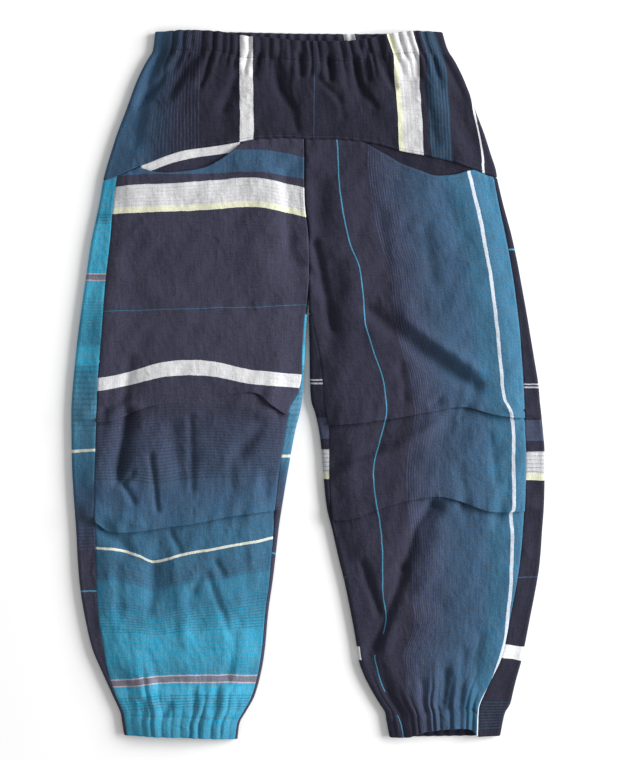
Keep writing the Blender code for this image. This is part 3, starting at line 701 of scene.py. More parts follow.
# How far the stripes of a leg lie off straight at places down it: shifts at the shares named.
Drift = namedtuple("Drift", "down shifts")
FRONT_DRIFT_SHARES = (0, 0.12, 0.25, 0.33, 0.5, 0.75, 1)
RIGHT_FRONT_DRIFT = [
    Drift(150, (0, -1, -1, -1, -2, -4, 5)),
    Drift(186, (0, -1, -1, -1, -2, -4, 5)),
    Drift(199, (0, -2, -3, -4, -7, -11, 2)),
    Drift(228, (0, -2, -3, -4, -6, -9, 4)),
    Drift(356, (0, 0, -1, -2, -3, -5, -8)),
    Drift(453, (0, -6, -16, -21, -23, -11, -4)),
    Drift(500, (0, -2, -5, -7, -9, -5, 0)),
    Drift(672, (0, 2, 10, 18, 8, -2, -13)),
    Drift(843, (0, -2, -5, -6, -7, -7, -6)),
]
BACK_DRIFT_SHARES = (0, 0.12, 1)
RIGHT_BACK_DRIFT = [
    Drift(300, (0, 0, 0)), Drift(500, (0, 0, 0)), Drift(545, (-1, 2, 8)), Drift(600, (0, 0, -30)),
    Drift(680, (0, 0, -60)), Drift(900, (0, 0, -40)),
]
LEFT_BACK_DRIFT = [
    Drift(380, (0, 0, -14)), Drift(452, (0, 0, -6)), Drift(500, (0, 0, -3)), Drift(583, (0, 0, -2)),
    Drift(700, (0, 0, 0)), Drift(806, (-3, 3, 0)), Drift(900, (0, 0, 4)),
]

# The two lines that run down the wearer's left front, and the width of cloth between them.
Station = namedtuple("Station", "down x")
BLUE_LINE = [
    Station(142.3, 37.7), Station(174.8, 39), Station(219, 42.9), Station(272.3, 53.3),
    Station(306.1, 66.3), Station(346.4, 71.5), Station(384.1, 75.4), Station(417.9, 85.8),
    Station(453, 97.5), Station(497.2, 101.4), Station(529.7, 93.6), Station(562.2, 85.8),
    Station(607.7, 87.1), Station(632.4, 92.3), Station(666.2, 96.2), Station(735.1, 97.5),
    Station(761, 102), Station(782, 97.5), Station(810.5, 87), Station(831.3, 91),
    Station(853.4, 98), Station(895, 119.6), Station(912, 123.5),
]
WHITE_LINE = [
    Station(182.6, 208), Station(211.2, 215.8), Station(267.8, 227.5), Station(319, 236.6),
    Station(380.2, 244.4), Station(424.4, 248.3), Station(476.4, 254.2), Station(492, 261.3),
    Station(511.5, 264.7), Station(545.3, 266.1), Station(585.6, 266.5), Station(621.5, 265.2),
    Station(624.6, 262.6), Station(659.7, 264.7), Station(724.7, 262.2), Station(772.8, 257.4),
    Station(793.6, 254.8), Station(840, 240), Station(875, 222.5), Station(912, 219.5),
]
LINE_WIDTH = 172.0

# How much further out each place on the waist edge lies once it reaches the yoke seam.
Spread = namedtuple("Spread", "x out")
YOKE_SPREAD = [
    Spread(-199, -68), Spread(-185, -45), Spread(-165, -22), Spread(-147, -6), Spread(-120, -2),
    Spread(-88, 0), Spread(0, 0), Spread(60, 4), Spread(103, 16), Spread(136, 14), Spread(150, 14),
    Spread(168, 20), Spread(175, 45), Spread(180, 66),
]

LIGHT_ON_CLOTH = 1.15


def tint(red, green, blue):
    """The cloth's own colour, in linear values, from how it looks in soft light."""
    seen = [level / 255 for level in (red, green, blue)]
    linear = [s / 12.92 if s <= 0.04045 else ((s + 0.055) / 1.055) ** 2.4 for s in seen]
    return tuple(level / LIGHT_ON_CLOTH for level in linear)


def colour_setting(label, red, green, blue):
    return FloatVectorProperty(
        name=label, description=f"Colour of the {label.lower()} yarn", subtype="COLOR", size=3,
        min=0.0, max=1.0, default=tint(red, green, blue),
    )


def size_setting(label, description, default, low, high):
    """A length, given here in millimetres."""
    return FloatProperty(
        name=label, description=description, default=default * MM, min=low * MM, max=high * MM,
        unit="LENGTH", precision=5,
    )


class TrouserColours(bpy.types.PropertyGroup):
    """The yarns' colours."""

    deep_navy: colour_setting("Deep navy", 40, 40, 54)
    midnight: colour_setting("Midnight", 50, 50, 66)
    navy: colour_setting("Navy", 60, 60, 77)
    dusk: colour_setting("Dusk", 60, 67, 88)
    deep_slate: colour_setting("Deep slate", 42, 57, 75)
    slate: colour_setting("Slate", 60, 76, 99)
    slate_blue: colour_setting("Slate blue", 58, 82, 107)
    pale_slate: colour_setting("Pale slate", 76, 90, 120)
    harbour: colour_setting("Harbour", 60, 88, 116)
    harbour_teal: colour_setting("Harbour teal", 58, 93, 121)
    sea: colour_setting("Sea", 60, 102, 130)
    sea_blue: colour_setting("Sea blue", 60, 120, 150)
    lagoon: colour_setting("Lagoon", 66, 115, 145)
    # Lagoon painted lighter than the cloth: painted light for the wearer's right back, on the side away
    # from the light.
    sky_lagoon: colour_setting("Lit lagoon", 78, 131, 158)
    deep_teal: colour_setting("Deep teal", 44, 92, 118)
    sky_sea: colour_setting("Sky sea", 62, 138, 168)
    turquoise: colour_setting("Turquoise", 65, 153, 186)
    bright_turquoise: colour_setting("Bright turquoise", 72, 166, 200)
    thread_blue: colour_setting("Thread blue", 72, 142, 174)
    rose_grey: colour_setting("Rose grey", 122, 122, 138)
    pale_rose: colour_setting("Pale rose", 186, 178, 186)
    ash: colour_setting("Ash", 168, 169, 178)
    dull_silver: colour_setting("Dull silver", 184, 184, 187)
    dull_lemon: colour_setting("Dull lemon", 205, 206, 182)
    silver: colour_setting("Silver", 212, 212, 214)
    chalk: colour_setting("Chalk", 213, 213, 216)
    chalk_blue: colour_setting("Chalk blue", 196, 205, 216)
    cream: colour_setting("Cream", 217, 218, 206)
    lemon: colour_setting("Lemon", 226, 227, 200)
    sewing_thread: colour_setting("Sewing thread", 66, 68, 88)
    floor: FloatVectorProperty(
        name="Floor", description="Colour of the floor", subtype="COLOR", size=3, min=0.0, max=1.0,
        default=(0.92, 0.92, 0.92),
    )


class TrouserSizes(bpy.types.PropertyGroup):
    """Sizes of the cloth and its stitches."""

    wall: size_setting("Wall", "Thickness of the cloth", 0.7, 0.2, 2.0)
    casing_gap: size_setting("Casing gap", "Distance between the casing's two layers", 1.7, 1.0, 4.0)
    waist_gather: size_setting("Waist gather", "Depth of the waist's gathers", 3.1, 0.0, 5.0)
    ankle_gather: size_setting("Ankle gather", "Depth of the ankles' gathers", 2.9, 0.0, 5.0)
    yarn_pitch: size_setting("Yarn pitch", "Distance between two yarns of the weave", 0.9, 0.3, 3.0)
    stitch_length: size_setting("Stitch length", "Length of one stitch", 2.3, 1.0, 6.0)
    stitch_pitch: size_setting("Stitch pitch", "Distance between two stitches", 3.3, 1.5, 8.0)
    stitch_thickness: size_setting("Stitch thickness", "Thickness of the sewing thread", 0.5, 0.1, 1.5)
    columns_per_gather: IntProperty(
        name="Columns per gather", description="Columns of faces across each waist gather",
        default=8, min=4, max=16,
    )


def millimetres(setting):
    """One of the trousers' sizes."""
    return getattr(bpy.context.scene.trouser_sizes, setting) / MM


class Recipe:
    """The node tree of one material, with a short call for each node."""

    def __init__(self, name):
        self.material = bpy.data.materials.new(name)
        self.material.use_nodes = True
        self.nodes = self.material.node_tree.nodes
        self.links = self.material.node_tree.links
        self.shader = self.nodes["Principled BSDF"]

    def feed(self, socket, value):
        if isinstance(value, bpy.types.NodeSocket):
            self.links.new(value, socket)
        else:
            socket.default_value = value

    def node(self, kind, inputs, **settings):
        made = self.nodes.new(kind)
        for key, value in settings.items():
            setattr(made, key, value)
        for socket, value in inputs.items():
            self.feed(made.inputs[socket], value)
        return made

    def math(self, operation, *values):
        return self.node("ShaderNodeMath", dict(enumerate(values)), operation=operation).outputs[0]

    def stretched(self, vector, across, along):
        scale = (across, along, 1.0)
        return self.node("ShaderNodeVectorMath", {0: vector, 1: scale}, operation="MULTIPLY").outputs[0]

    def noise(self, vector, scale, detail=2.0):
        inputs = {"Vector": vector, "Scale": scale, "Detail": detail, "Roughness": 0.55}
        return self.node("ShaderNodeTexNoise", inputs, noise_dimensions="2D").outputs[0]

    def blend(self, share, start, end):
        inputs = {0: share, 6: start, 7: end}
        return self.node("ShaderNodeMix", inputs, data_type="RGBA").outputs[2]

    def varied(self, value, middle, swing):
        """middle plus or minus swing, as a noise of 0 to 1 goes."""
        return self.math("MULTIPLY_ADD", value, 2 * swing, middle - swing)

    def between(self, place, start, end):
        """1 between two places given in millimetres, and 0 elsewhere."""
        return self.math("COMPARE", place, (start + end) / 2 * MM, (end - start) / 2 * MM)

    def dye(self, colour, value, saturation=1.0):
        """Gives the shader a colour, varied in value and saturation."""
        inputs = {"Saturation": saturation, "Value": value, "Color": colour}
        made = self.node("ShaderNodeHueSaturation", inputs)
        self.feed(self.shader.inputs["Base Color"], made.outputs[0])

    def raise_surface(self, height, strength, distance):
        made = self.node("ShaderNodeBump", {"Height": height, "Strength": strength, "Distance": distance})
        self.feed(self.shader.inputs["Normal"], made.outputs[0])


def yarn(colour):
    """One of the trousers' colours as a node takes it."""
    return (*getattr(bpy.context.scene.trouser_colours, colour), 1.0)


def tone_ramp(recipe, place, tones):
    """Colours that fade from each tone to the next."""
    first, last = tones[0].at * MM, tones[-1].at * MM
    inputs = {"Value": place, "From Min": first, "From Max": last}
    share = recipe.node("ShaderNodeMapRange", inputs).outputs[0]
    made = recipe.node("ShaderNodeValToRGB", {"Fac": share})
    stops = made.color_ramp.elements
    while len(stops) > 1:
        stops.remove(stops[-1])
    for i, tone in enumerate(tones):
        position = (tone.at * MM - first) / (last - first)
        stop = stops[0] if i == 0 else stops.new(position)
        stop.position = position
        stop.color = yarn(tone.colour)
    return made.outputs["Color"]


def striped_cloth(name, tones, bands=(), fine=(), along=True):
    """Yarn-dyed cotton: tones, fine stripes and bands, then uneven yarns, a weave and soft creases."""
    recipe = Recipe(name)
    weave = recipe.node("ShaderNodeUVMap", {}, uv_map=WEAVE_MAP).outputs[0]
    parts = recipe.node("ShaderNodeSeparateXYZ", {0: weave}).outputs
    place, beside = (parts[1], parts[0]) if along else (parts[0], parts[1])
    frayed = recipe.noise(recipe.stretched(weave, *((900, 60) if along else (60, 900))), 1.0, 1.0)
    waved = recipe.noise(weave, 22.0, 2.0)
    place = recipe.math("ADD", place, recipe.varied(frayed, 0.0, 0.5 * MM))
    place = recipe.math("ADD", place, recipe.varied(waved, 0.0, 1.6 * MM))

    colour = tone_ramp(recipe, place, tones)
    for band in bands:
        shown = recipe.between(place, band.start, band.end)
        for start, end in band.hidden:
            shown = recipe.math("SUBTRACT", shown, recipe.between(beside, start, end))
        shown = recipe.math("MAXIMUM", shown, 0.0)
        colour = recipe.blend(shown, colour, yarn(band.colour))
    for stripe in fine:
        turns = recipe.math("FRACT", recipe.math("MULTIPLY", place, 1 / (stripe.pitch * MM)))
        shown = recipe.math("MULTIPLY", recipe.math("LESS_THAN", turns, stripe.share), stripe.strength)
        shown = recipe.math("MULTIPLY", shown, recipe.between(place, stripe.start, stripe.end))
        colour = recipe.blend(shown, colour, yarn(stripe.colour))

    # Slubs of both yarn directions, the crossing yarns' mottle, and a slow unevenness of the dye,
    # all weaker on pale stripes.
    down_yarns = recipe.noise(recipe.stretched(weave, 480, 38), 1.0, 3.0)
    cross_yarns = recipe.noise(recipe.stretched(weave, 38, 480), 1.0, 3.0)
    mottle = recipe.noise(weave, 620.0, 2.0)
    slow = recipe.noise(weave, 9.0, 3.0)
    light = recipe.varied(down_yarns, 1.0, 0.3)
    for value, swing in ((cross_yarns, 0.32), (mottle, 0.6), (slow, 0.18)):
        light = recipe.math("MULTIPLY", light, recipe.varied(value, 1.0, swing))
    pale = recipe.node("ShaderNodeRGBToBW", {0: colour}).outputs[0]
    kept = recipe.math("MULTIPLY_ADD", pale, -0.9, 1.0)
    light = recipe.math("MULTIPLY_ADD", recipe.math("SUBTRACT", light, 1.0), kept, 1.0)
    recipe.dye(colour, light, recipe.varied(cross_yarns, 1.0, 0.22))

    # Heights in millimetres: over and under yarns, their slubs, and small creases of washed cotton.
    turn = math.tau / bpy.context.scene.trouser_sizes.yarn_pitch
    over = recipe.math("SINE", recipe.math("MULTIPLY", parts[0], turn))
    under = recipe.math("SINE", recipe.math("MULTIPLY", parts[1], turn))
    height = recipe.math("MULTIPLY", recipe.math("MULTIPLY", over, under), 0.05)
    for value, rise in ((down_yarns, 0.14), (cross_yarns, 0.14), (recipe.noise(weave, 95.0, 4.0), 1.1)):
        height = recipe.math("MULTIPLY_ADD", value, rise, height)
    recipe.raise_surface(height, 1.0, MM)
    recipe.feed(recipe.shader.inputs["Roughness"], recipe.varied(cross_yarns, 0.88, 0.08))
    recipe.shader.inputs["Specular IOR Level"].default_value = 0.1
    recipe.shader.inputs["Sheen Weight"].default_value = 0.03
    recipe.shader.inputs["Sheen Roughness"].default_value = 0.55
    return recipe.material


def sewing_thread():
    """Twisted cotton thread."""
    recipe = Recipe("sewing thread")
    place = recipe.node("ShaderNodeTexCoord", {}).outputs["Object"]
    twist = recipe.noise(recipe.stretched(place, 2600, 2600), 1.0, 1.0)
    recipe.dye(yarn("sewing_thread"), recipe.varied(twist, 1.0, 0.3))
    recipe.feed(recipe.shader.inputs["Roughness"], recipe.varied(twist, 0.7, 0.1))
    recipe.raise_surface(twist, 0.6, 0.1 * MM)
    return recipe.material


def stitches(name, lines):
    """Rows of small raised stitches along lines of points that lie on the cloth, in millimetres."""
    half, radius = millimetres("stitch_length") / 2, millimetres("stitch_thickness") / 2
    pitch = millimetres("stitch_pitch")
    sides = 5
    turns = np.arange(sides) * math.tau / sides
    ring = np.stack([np.zeros(sides), np.cos(turns) * radius, np.sin(turns) * radius * 0.8], axis=1)
    body = [(-half, 0, -radius)] + list(ring - (half * 0.6, 0, 0)) + list(ring + (half * 0.6, 0, 0))
    template = np.array(body + [(half, 0, -radius)])
    last = 2 * sides + 1
    faces = []
    for i in range(sides):
        j = (i + 1) % sides
        faces += [(0, 1 + j, 1 + i), (1 + i, 1 + j, 1 + sides + j), (1 + i, 1 + sides + j, 1 + sides + i)]
        faces.append((1 + sides + i, 1 + sides + j, last))
    points, corners = [], []
    for line in lines:
        gone = np.concatenate([[0], np.cumsum(np.linalg.norm(np.diff(line, axis=0), axis=1))])
        places = np.arange(pitch / 2, gone[-1], pitch)
        centre = np.stack([np.interp(places, gone, line[:, k]) for k in range(3)], axis=1)
        ahead = np.stack([np.interp(places + half, gone, line[:, k]) for k in range(3)], axis=1)
        behind = np.stack([np.interp(places - half, gone, line[:, k]) for k in range(3)], axis=1)
        along = ahead - behind
        along /= np.maximum(np.linalg.norm(along, axis=1, keepdims=True), 1e-9)
        beside = np.cross((0.0, 0.0, 1.0), along)
        beside /= np.maximum(np.linalg.norm(beside, axis=1, keepdims=True), 1e-9)
        axes = np.stack([along, beside, np.cross(along, beside)], axis=1)
        made = centre[:, None, :] + np.einsum("vk,mkc->mvc", template, axes) + (0, 0, radius * 0.6)
        first = sum(len(row) for row in points)
        points.append(made.reshape(-1, 3))
        for m in range(len(places)):
            corners += [[first + m * len(template) + k for k in face] for face in faces]
    mesh = bpy.data.meshes.new(name)
    mesh.from_pydata((np.concatenate(points) * MM).tolist(), [], corners)
    mesh.materials.append(bpy.data.materials.get("sewing thread") or sewing_thread())
    mesh.shade_smooth()
    piece = bpy.data.objects.new(name, mesh)
    bpy.context.scene.collection.objects.link(piece)
    return piece


def settle(piece, node, with_pieces=()):
    """Sets a cloth piece and its stitches in the frame, in place of its solid."""
    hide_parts(node)
    for each in (piece, *with_pieces):
        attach(each, "root")


def gather_wave(beat, uneven, seed, shift=0.4):
    """Rounded gathers with sharp valleys: crests at even beats, uneven in depth and place."""
    random = np.random.default_rng(seed)
    depth = np.interp(beat, GATHER_BEATS, 1 - uneven * random.uniform(0, 1, len(GATHER_BEATS)))
    beat = beat + np.interp(beat, GATHER_BEATS, random.uniform(-shift, shift, len(GATHER_BEATS)))
    return depth * (2 * np.abs(np.cos(math.pi * beat / 2)) ** 0.75 - 1)


def gather_reach(beat, shortest, longest, seed):
    """How far each gather runs on below its casing. A few run far."""
    far = np.random.default_rng(seed).uniform(0, 1, len(GATHER_BEATS)) ** 2.2
    return np.interp(beat, GATHER_BEATS, mix(shortest, longest, far))


def relief(x, down):
    """The small swells and creases of the front."""
    return crumple(x, down) + CREASE_GAIN * fold_height(CREASES, x, down)


def lying(leg, x, down):
    """The height of the front's outer face with its small creases, which die away at the side folds."""
    clear = np.maximum(edge_distance(leg, x, down) - FOLD_RADIUS, 0.0)
    return cloth_top(leg, x, down) + relief(x, down) * ease(clear / FOLD_FREE_EDGE)


def rolled(distance, depth=0.55, reach=2.5):
    """How far a sewn edge rolls down into its seam."""
    return -depth * np.clip(1 - distance / reach, 0.0, 1.0) ** 2


def groove(distance, depth, half_width=1.5):
    return -depth * np.exp(-((distance / half_width) ** 2))


def trace(points, field):
    """The line of points where a field of rows and columns passes zero, one for each column."""
    passed = np.clip(np.argmax(field >= 0, axis=0), 1, len(field) - 1)
    columns = np.arange(field.shape[1])
    before, after = field[passed - 1, columns], field[passed, columns]
    share = np.clip(before / (before - after), 0.0, 1.0)[:, None]
    return mix(points[passed - 1, columns], points[passed, columns], share)


def drifted(table, shares, share, down):
    """Places in the weave whose stripes lie off straight by the shifts of a table."""
    at = [row.down for row in table]
    shifts = [curve([(s, shift) for s, shift in zip(shares, row.shifts)])(share) for row in table]
    place = down
    for _ in range(3):
        i = np.clip(np.searchsorted(at, place) - 1, 0, len(at) - 2)
        t = ease((place - np.take(at, i)) / (np.take(at, i + 1) - np.take(at, i)))
        shift = np.zeros(np.broadcast(place, share).shape)
        for k in range(len(at) - 1):
            shift = np.where(i == k, mix(shifts[k], shifts[k + 1], t), shift)
        place = down - shift
    return place


def yoke_place(share, row_share, top_edge, seam):
    """Where columns cross rows between the side folds: x, and how far down."""
    x = mix(hip_right(0), hip_left(0), share)
    for _ in range(3):
        casing = top_edge(x) + CASING_HEIGHT
        below = mix(casing, seam(x) - SEAM_GAP / 2, row_share - 1)
        down = np.where(row_share <= 1, mix(top_edge(x), casing, row_share), below)
        x = mix(hip_right(down) + FOLD_RADIUS, hip_left(down) - FOLD_RADIUS, share)
    return x, down


def yoke_grid():
    """The shares across a yoke, and down it: 0 to 1 in the casing, and on to 2 at the seam."""
    across = WAIST_GATHERS * bpy.context.scene.trouser_sizes.columns_per_gather
    share = np.arange(across + 1)[None, :] / across
    row_share = np.concatenate([np.linspace(0, 1, 18), np.linspace(1, 2, 68)[1:]])[:, None]
    return share, row_share


def yoke_weave(x, share, row_share):
    """Stripes run down a yoke, and spread towards its seam more than the cloth does."""
    spread = curve([(row.x, row.out) for row in YOKE_SPREAD])
    at_waist = mix(hip_right(0), hip_left(0), share)
    return x + (1 - row_share / 2) * spread(at_waist)


def front_yoke():
    """The front from the waist to the yoke seam, gathered into its casing and turned under beside it."""
    share, row_share = yoke_grid()
    x, down = yoke_place(share, row_share, front_waist, yoke_seam)
    below = down - front_waist(x) - CASING_HEIGHT
    beat = 2 * WAIST_GATHERS * share + 0 * row_share
    beat = beat + 0.35 * ripples(x, down, 60, 31, 4) * ease(below / 30)
    fade = 1 - ease(below / gather_reach(beat, 26, 92, 22))
    fade = np.where(row_share <= 1, 1.0, fade)
    wave = gather_wave(beat, 0.7, 21, 0.6)
    sides = ease(np.minimum(share, 1 - share) / SIDE_FADE)
    lift = fade * (1.6 + millimetres("waist_gather") * wave)
    lift = lift + 1.2 * np.sin(math.pi * np.minimum(row_share, 1))
    lift = lift + groove(below, 1.3)
    lift = lift + 0.5 * ripples(x * 2, down * 0.4, 14, 23, 6) * np.exp(-np.abs(below) / 12)
    height = np.where(x < 0, lying(RIGHT, x, down), lying(LEFT, x, down)) + lift * sides
    to_seam = yoke_seam(x) - down
    sewn_edge = rolled(to_seam) + puckers(x, to_seam, 24) + groove(to_seam - SEAM_STITCH_IN, 0.3, 1.0)
    height = height + sewn_edge * sides
    across = yoke_weave(x, share, row_share)

    angle = math.pi * np.arange(1, 9) / 8
    out = np.append(FOLD_RADIUS * np.sin(angle), FOLD_RADIUS - YOKE_SEAM_INSET)
    turned = np.append(FOLD_RADIUS * (1 + np.cos(angle)), 0.0)
    gone = np.append(FOLD_RADIUS * angle, FOLD_RADIUS * math.pi + YOKE_SEAM_INSET)
    level = np.ones_like(row_share)

    def with_sides(grid, right, left):
        return np.concatenate([right[:, ::-1], grid, left], axis=1)

    cloth = Cloth(
        with_sides(x, x[:, :1] - out, x[:, -1:] + out),
        with_sides(down, down[:, :1] + 0 * out, down[:, -1:] + 0 * out),
        with_sides(height, level * turned, level * turned),
        with_sides(across, across[:, :1] - gone, across[:, -1:] + gone),
        with_sides(down, down[:, :1] + 0 * out, down[:, -1:] + 0 * out),
    )
    inner = cloth.points[:, len(out):-len(out)]
    lines = [trace(inner, below), trace(inner, SEAM_STITCH_IN - to_seam)]
    cloth.turned_in(WAIST_TURNED_ROWS, millimetres("casing_gap"), at_top=True)
    material = striped_cloth("front yoke cloth", YOKE_TONES, YOKE_BANDS, YOKE_FINE, along=False)
    piece = cloth_piece("front_yoke_cloth", cloth, material)
    sewn = stitches("front_yoke_stitching", lines)
    settle(piece, "front_yoke", (sewn,))


def back_yoke():
    """The back from the waist to its yoke seam, lying on the ground between the side seams."""
    inset = YOKE_SEAM_INSET - FOLD_RADIUS + SEAM_GAP
    share, row_share = yoke_grid()
    share = share[:, ::-1]
    x, down = yoke_place(share, row_share, back_waist, back_yoke_seam)
    below = down - back_waist(x) - CASING_HEIGHT
    beat = 2 * WAIST_GATHERS * share + 0 * row_share
    fade = np.where(row_share <= 1, 1.0, 1 - ease(below / gather_reach(beat, 20, 60, 26)))
    wave = 0.5 - 0.5 * gather_wave(beat, 0.4, 25)
    sides = ease(np.minimum(share, 1 - share) / SIDE_FADE)
    height = millimetres("waist_gather") * fade * sides * wave
    height = height + 2.6 * (1 - ease(row_share / 0.9)) * sides
    swell = 0.5 * np.maximum(ripples(x, down, 34, 27), 0) * sides
    height = height + swell * ease((back_yoke_seam(x) - down) / 12)
    cloth = Cloth(
        x + inset * (1 - 2 * share), down, np.maximum(height, 0.0), yoke_weave(x, share, row_share), down
    )
    cloth.turned_in(WAIST_TURNED_ROWS, millimetres("casing_gap"), at_top=True)
    material = striped_cloth(
        "back yoke cloth", BACK_YOKE_TONES, BACK_YOKE_BANDS, BACK_YOKE_FINE, along=False
    )
    piece = cloth_piece("back_yoke_cloth", cloth, material)
    settle(piece, "back_yoke")


def tuck_folds(leg, share):
    """Rows of a front leg: its top, its casing, how far down, the furthest yet, and tucks passed."""
    x_top = leg.along_yoke(share)
    top = yoke_seam(x_top) + leg.dip(x_top) + SEAM_GAP / 2
    upper, lower = (line(share) for line in leg.tuck_lines)
    hem = leg.front_hem(share)
    casing = hem - HEM_CASING_HEIGHT
    q = np.linspace(-1, 1, 27)[:, None]
    passing = ease((q + 0.42) / 0.84)

    def through(line, step):
        overhang = TUCK_OVERHANG * np.clip(step(share) / TUCK_FULL_STEP, 0.0, 1.0)
        return line + TUCK_HALF * (q**3 * (1 + overhang) - overhang * q)

    def steps(count, first=0, last=None):
        return np.linspace(0, 1, count)[first:last, None]

    spans = [
        mix(top, upper - TUCK_HALF, steps(120, 0, -1)),
        through(upper, leg.tuck_steps[0]),
        mix(upper + TUCK_HALF, lower - TUCK_HALF, steps(46, 1, -1)),
        through(lower, leg.tuck_steps[1]),
        mix(lower + TUCK_HALF, casing, steps(96, 1)),
        mix(casing, hem, steps(14, 1)),
    ]
    counts = [len(span) for span in spans]
    passed_upper = np.concatenate([np.zeros(counts[0]), passing[:, 0], np.ones(sum(counts[2:]))])
    passed_lower = np.concatenate([np.zeros(sum(counts[:3])), passing[:, 0], np.ones(sum(counts[4:]))])
    down = np.concatenate(spans)
    passed = (passed_upper[:, None], passed_lower[:, None])
    return top, casing, down, np.maximum.accumulate(down, axis=0), passed


def tuck_height(leg, share, down, passed):
    """The upper cloth of each tuck swells towards its fold, and the lower cloth sinks under it."""
    height = 0.0
    for line, step, gone in zip(leg.tuck_lines, leg.tuck_steps, passed):
        past, rise = down - line(share), TUCK_GAIN * np.maximum(step(share), 0.0)
        above = rise * ease(1 + past / TUCK_SWELL)
        under = -TUCK_SINK_SHARE * rise * (1 - ease(past / TUCK_SINK))
        height = height + mix(above, under, gone)
    return height


def tuck_creases(leg, share, x, down, seed):
    """Little creases that run into each tuck."""
    total = 0.0
    for i, (line, step) in enumerate(zip(leg.tuck_lines, leg.tuck_steps)):
        past = down - line(share)
        wave = ripples(x + 0.25 * past, 0 * past, 17, seed + i, 5)
        total = total + 0.22 * np.maximum(step(share), 0.0) * wave * np.exp(-np.abs(past) / 26)
    return total


def front_leg(leg, name, material, node, weave):
    """A front leg panel, from the yoke seam and pocket mouth through two tucks to the gathered hem."""
    share = np.linspace(0, 1, 116)[None, :]
    top, casing, down, flat_down, passed = tuck_folds(leg, share)
    start = leg.outseam(down) - leg.side * SEAM_GAP / 2
    end = leg.inseam(down) + leg.side * SEAM_GAP / 2
    x = mix(start, end, share)
    x_top = leg.along_yoke(share)
    mouth = ease(leg.dip(x_top) / 4)
    above_crotch = 1 - ease((down - LAP_END_DOWN) / LAP_FADE)

    wander = 0.3 * ripples(x, down, 70, 41 + leg.side, 4) * ease((casing - down) / 30)
    beat = (2 * ANKLE_GATHERS + 2) * share + wander
    reach = gather_reach(beat, 34, 150, 42 + leg.side)
    fade = 1 - ease(np.maximum(casing - down, 0) / reach)
    wave = gather_wave(beat, 0.85, 43 + leg.side, 0.75)
    inset = edge_distance(leg, x, down)
    in_casing = np.clip((down - casing) / HEM_CASING_HEIGHT, 0.0, 1.0)
    lift = fade * (1.6 + millimetres("ankle_gather") * wave) + 0.8 * np.sin(math.pi * in_casing)
    lift = lift + groove(down - casing, 1.1)
    height = lying(leg, x, down) + lift * ease((inset - FREE_EDGE) / FOLD_FREE_EDGE)
    height = height + tuck_height(leg, share, down, passed)
    height = height + tuck_creases(leg, share, x, down, 44) * ease((inset - FREE_EDGE) / FOLD_FREE_EDGE)

    from_top, from_start, from_end = down - top, np.abs(x - start), np.abs(x - end)
    height = height + (1 - mouth) * (rolled(from_top) + puckers(x, from_top, 46))
    height = height + mouth * (1.0 * np.exp(-from_top / 7) + groove(from_top - EDGE_STITCH_IN, 0.35, 1.1))
    height = height + rolled(from_start)
    if leg.side < 0:
        lapping = 0.8 * np.exp(-from_end / 6) + groove(from_end - EDGE_STITCH_IN, 0.35, 1.1)
        height = height + mix(rolled(from_end), lapping, above_crotch)
    else:
        height = height + rolled(from_end) - 0.5 * above_crotch * np.exp(-from_end / 4)
    across, along = weave(x, share, flat_down)

    def in_order(field):
        return np.broadcast_to(field, x.shape)[:, :: -leg.side]

    cloth = Cloth(*(in_order(grid) for grid in (x, down, height, across, along)))
    lines = [trace(cloth.points, in_order(down - casing))]
    sewn_mouth = trace(cloth.points, in_order(from_top - EDGE_STITCH_IN))
    lines.append(sewn_mouth[in_order(mouth)[0] > 0.6])
    if leg.side < 0:
        front_line = trace(cloth.points.transpose(1, 0, 2), in_order(EDGE_STITCH_IN - from_end).T)
        lines.append(front_line[front_line[:, 1] > LENGTH / 2 - LAP_STITCHED_DOWN])
    in_mouth = in_order(mouth)[:1, :, None]
    cloth.lapped("top", mix(TOP_ALLOWANCE, 0.3, in_mouth), mix(1.4, 1.0, in_mouth))
    if leg.side > 0:
        over = np.concatenate([above_crotch[:1, -1:], above_crotch[:, -1:]])[:, :, None]
        cloth.lapped("first", mix(0.3, 2.2, over), mix(0.4, 1.5, over))
    cloth.turned_in(HEM_TURNED_ROWS, millimetres("casing_gap"))
    piece = cloth_piece(name, cloth, material)
    sewn = stitches(f"{name}_stitching", lines)
    settle(piece, node, (sewn,))


def right_front_weave(x, share, down):
    return x, drifted(RIGHT_FRONT_DRIFT, FRONT_DRIFT_SHARES, share, down)


def left_front_weave(x, share, down):
    blue = curve([(row.down, row.x) for row in BLUE_LINE])(down)
    white = curve([(row.down, row.x) for row in WHITE_LINE])(down)
    between = LINE_WIDTH * (x - blue) / (white - blue)
    return np.where(x < blue, x - blue, np.where(x > white, LINE_WIDTH + x - white, between)), down


def front_legs():
    """Both front leg panels."""
    across_cloth = striped_cloth(
        "right front cloth", RIGHT_FRONT_TONES, RIGHT_FRONT_BANDS, RIGHT_FRONT_FINE
    )
    down_cloth = striped_cloth(
        "left front cloth", LEFT_FRONT_TONES, LEFT_FRONT_BANDS, LEFT_FRONT_FINE, along=False
    )
    front_leg(
        RIGHT, "right_front_leg_cloth", across_cloth, "front_leg_right",
        right_front_weave,
    )
    front_leg(
        LEFT, "left_front_leg_cloth", down_cloth, "front_leg_left",
        left_front_weave,
    )


BACK_LINES = (("top", 84), ("crotch", 50), ("upper", 56), ("lower", 92), ("casing", 14), ("hem", 0))


def back_rows():
    """Rows down a back leg as (line above, line below, share between them)."""
    rows = []
    for (above, count), (below, _) in zip(BACK_LINES, BACK_LINES[1:]):
        rows += [(above, below, t) for t in np.linspace(0, 1, count)[: None if below == "hem" else -1]]
    return rows


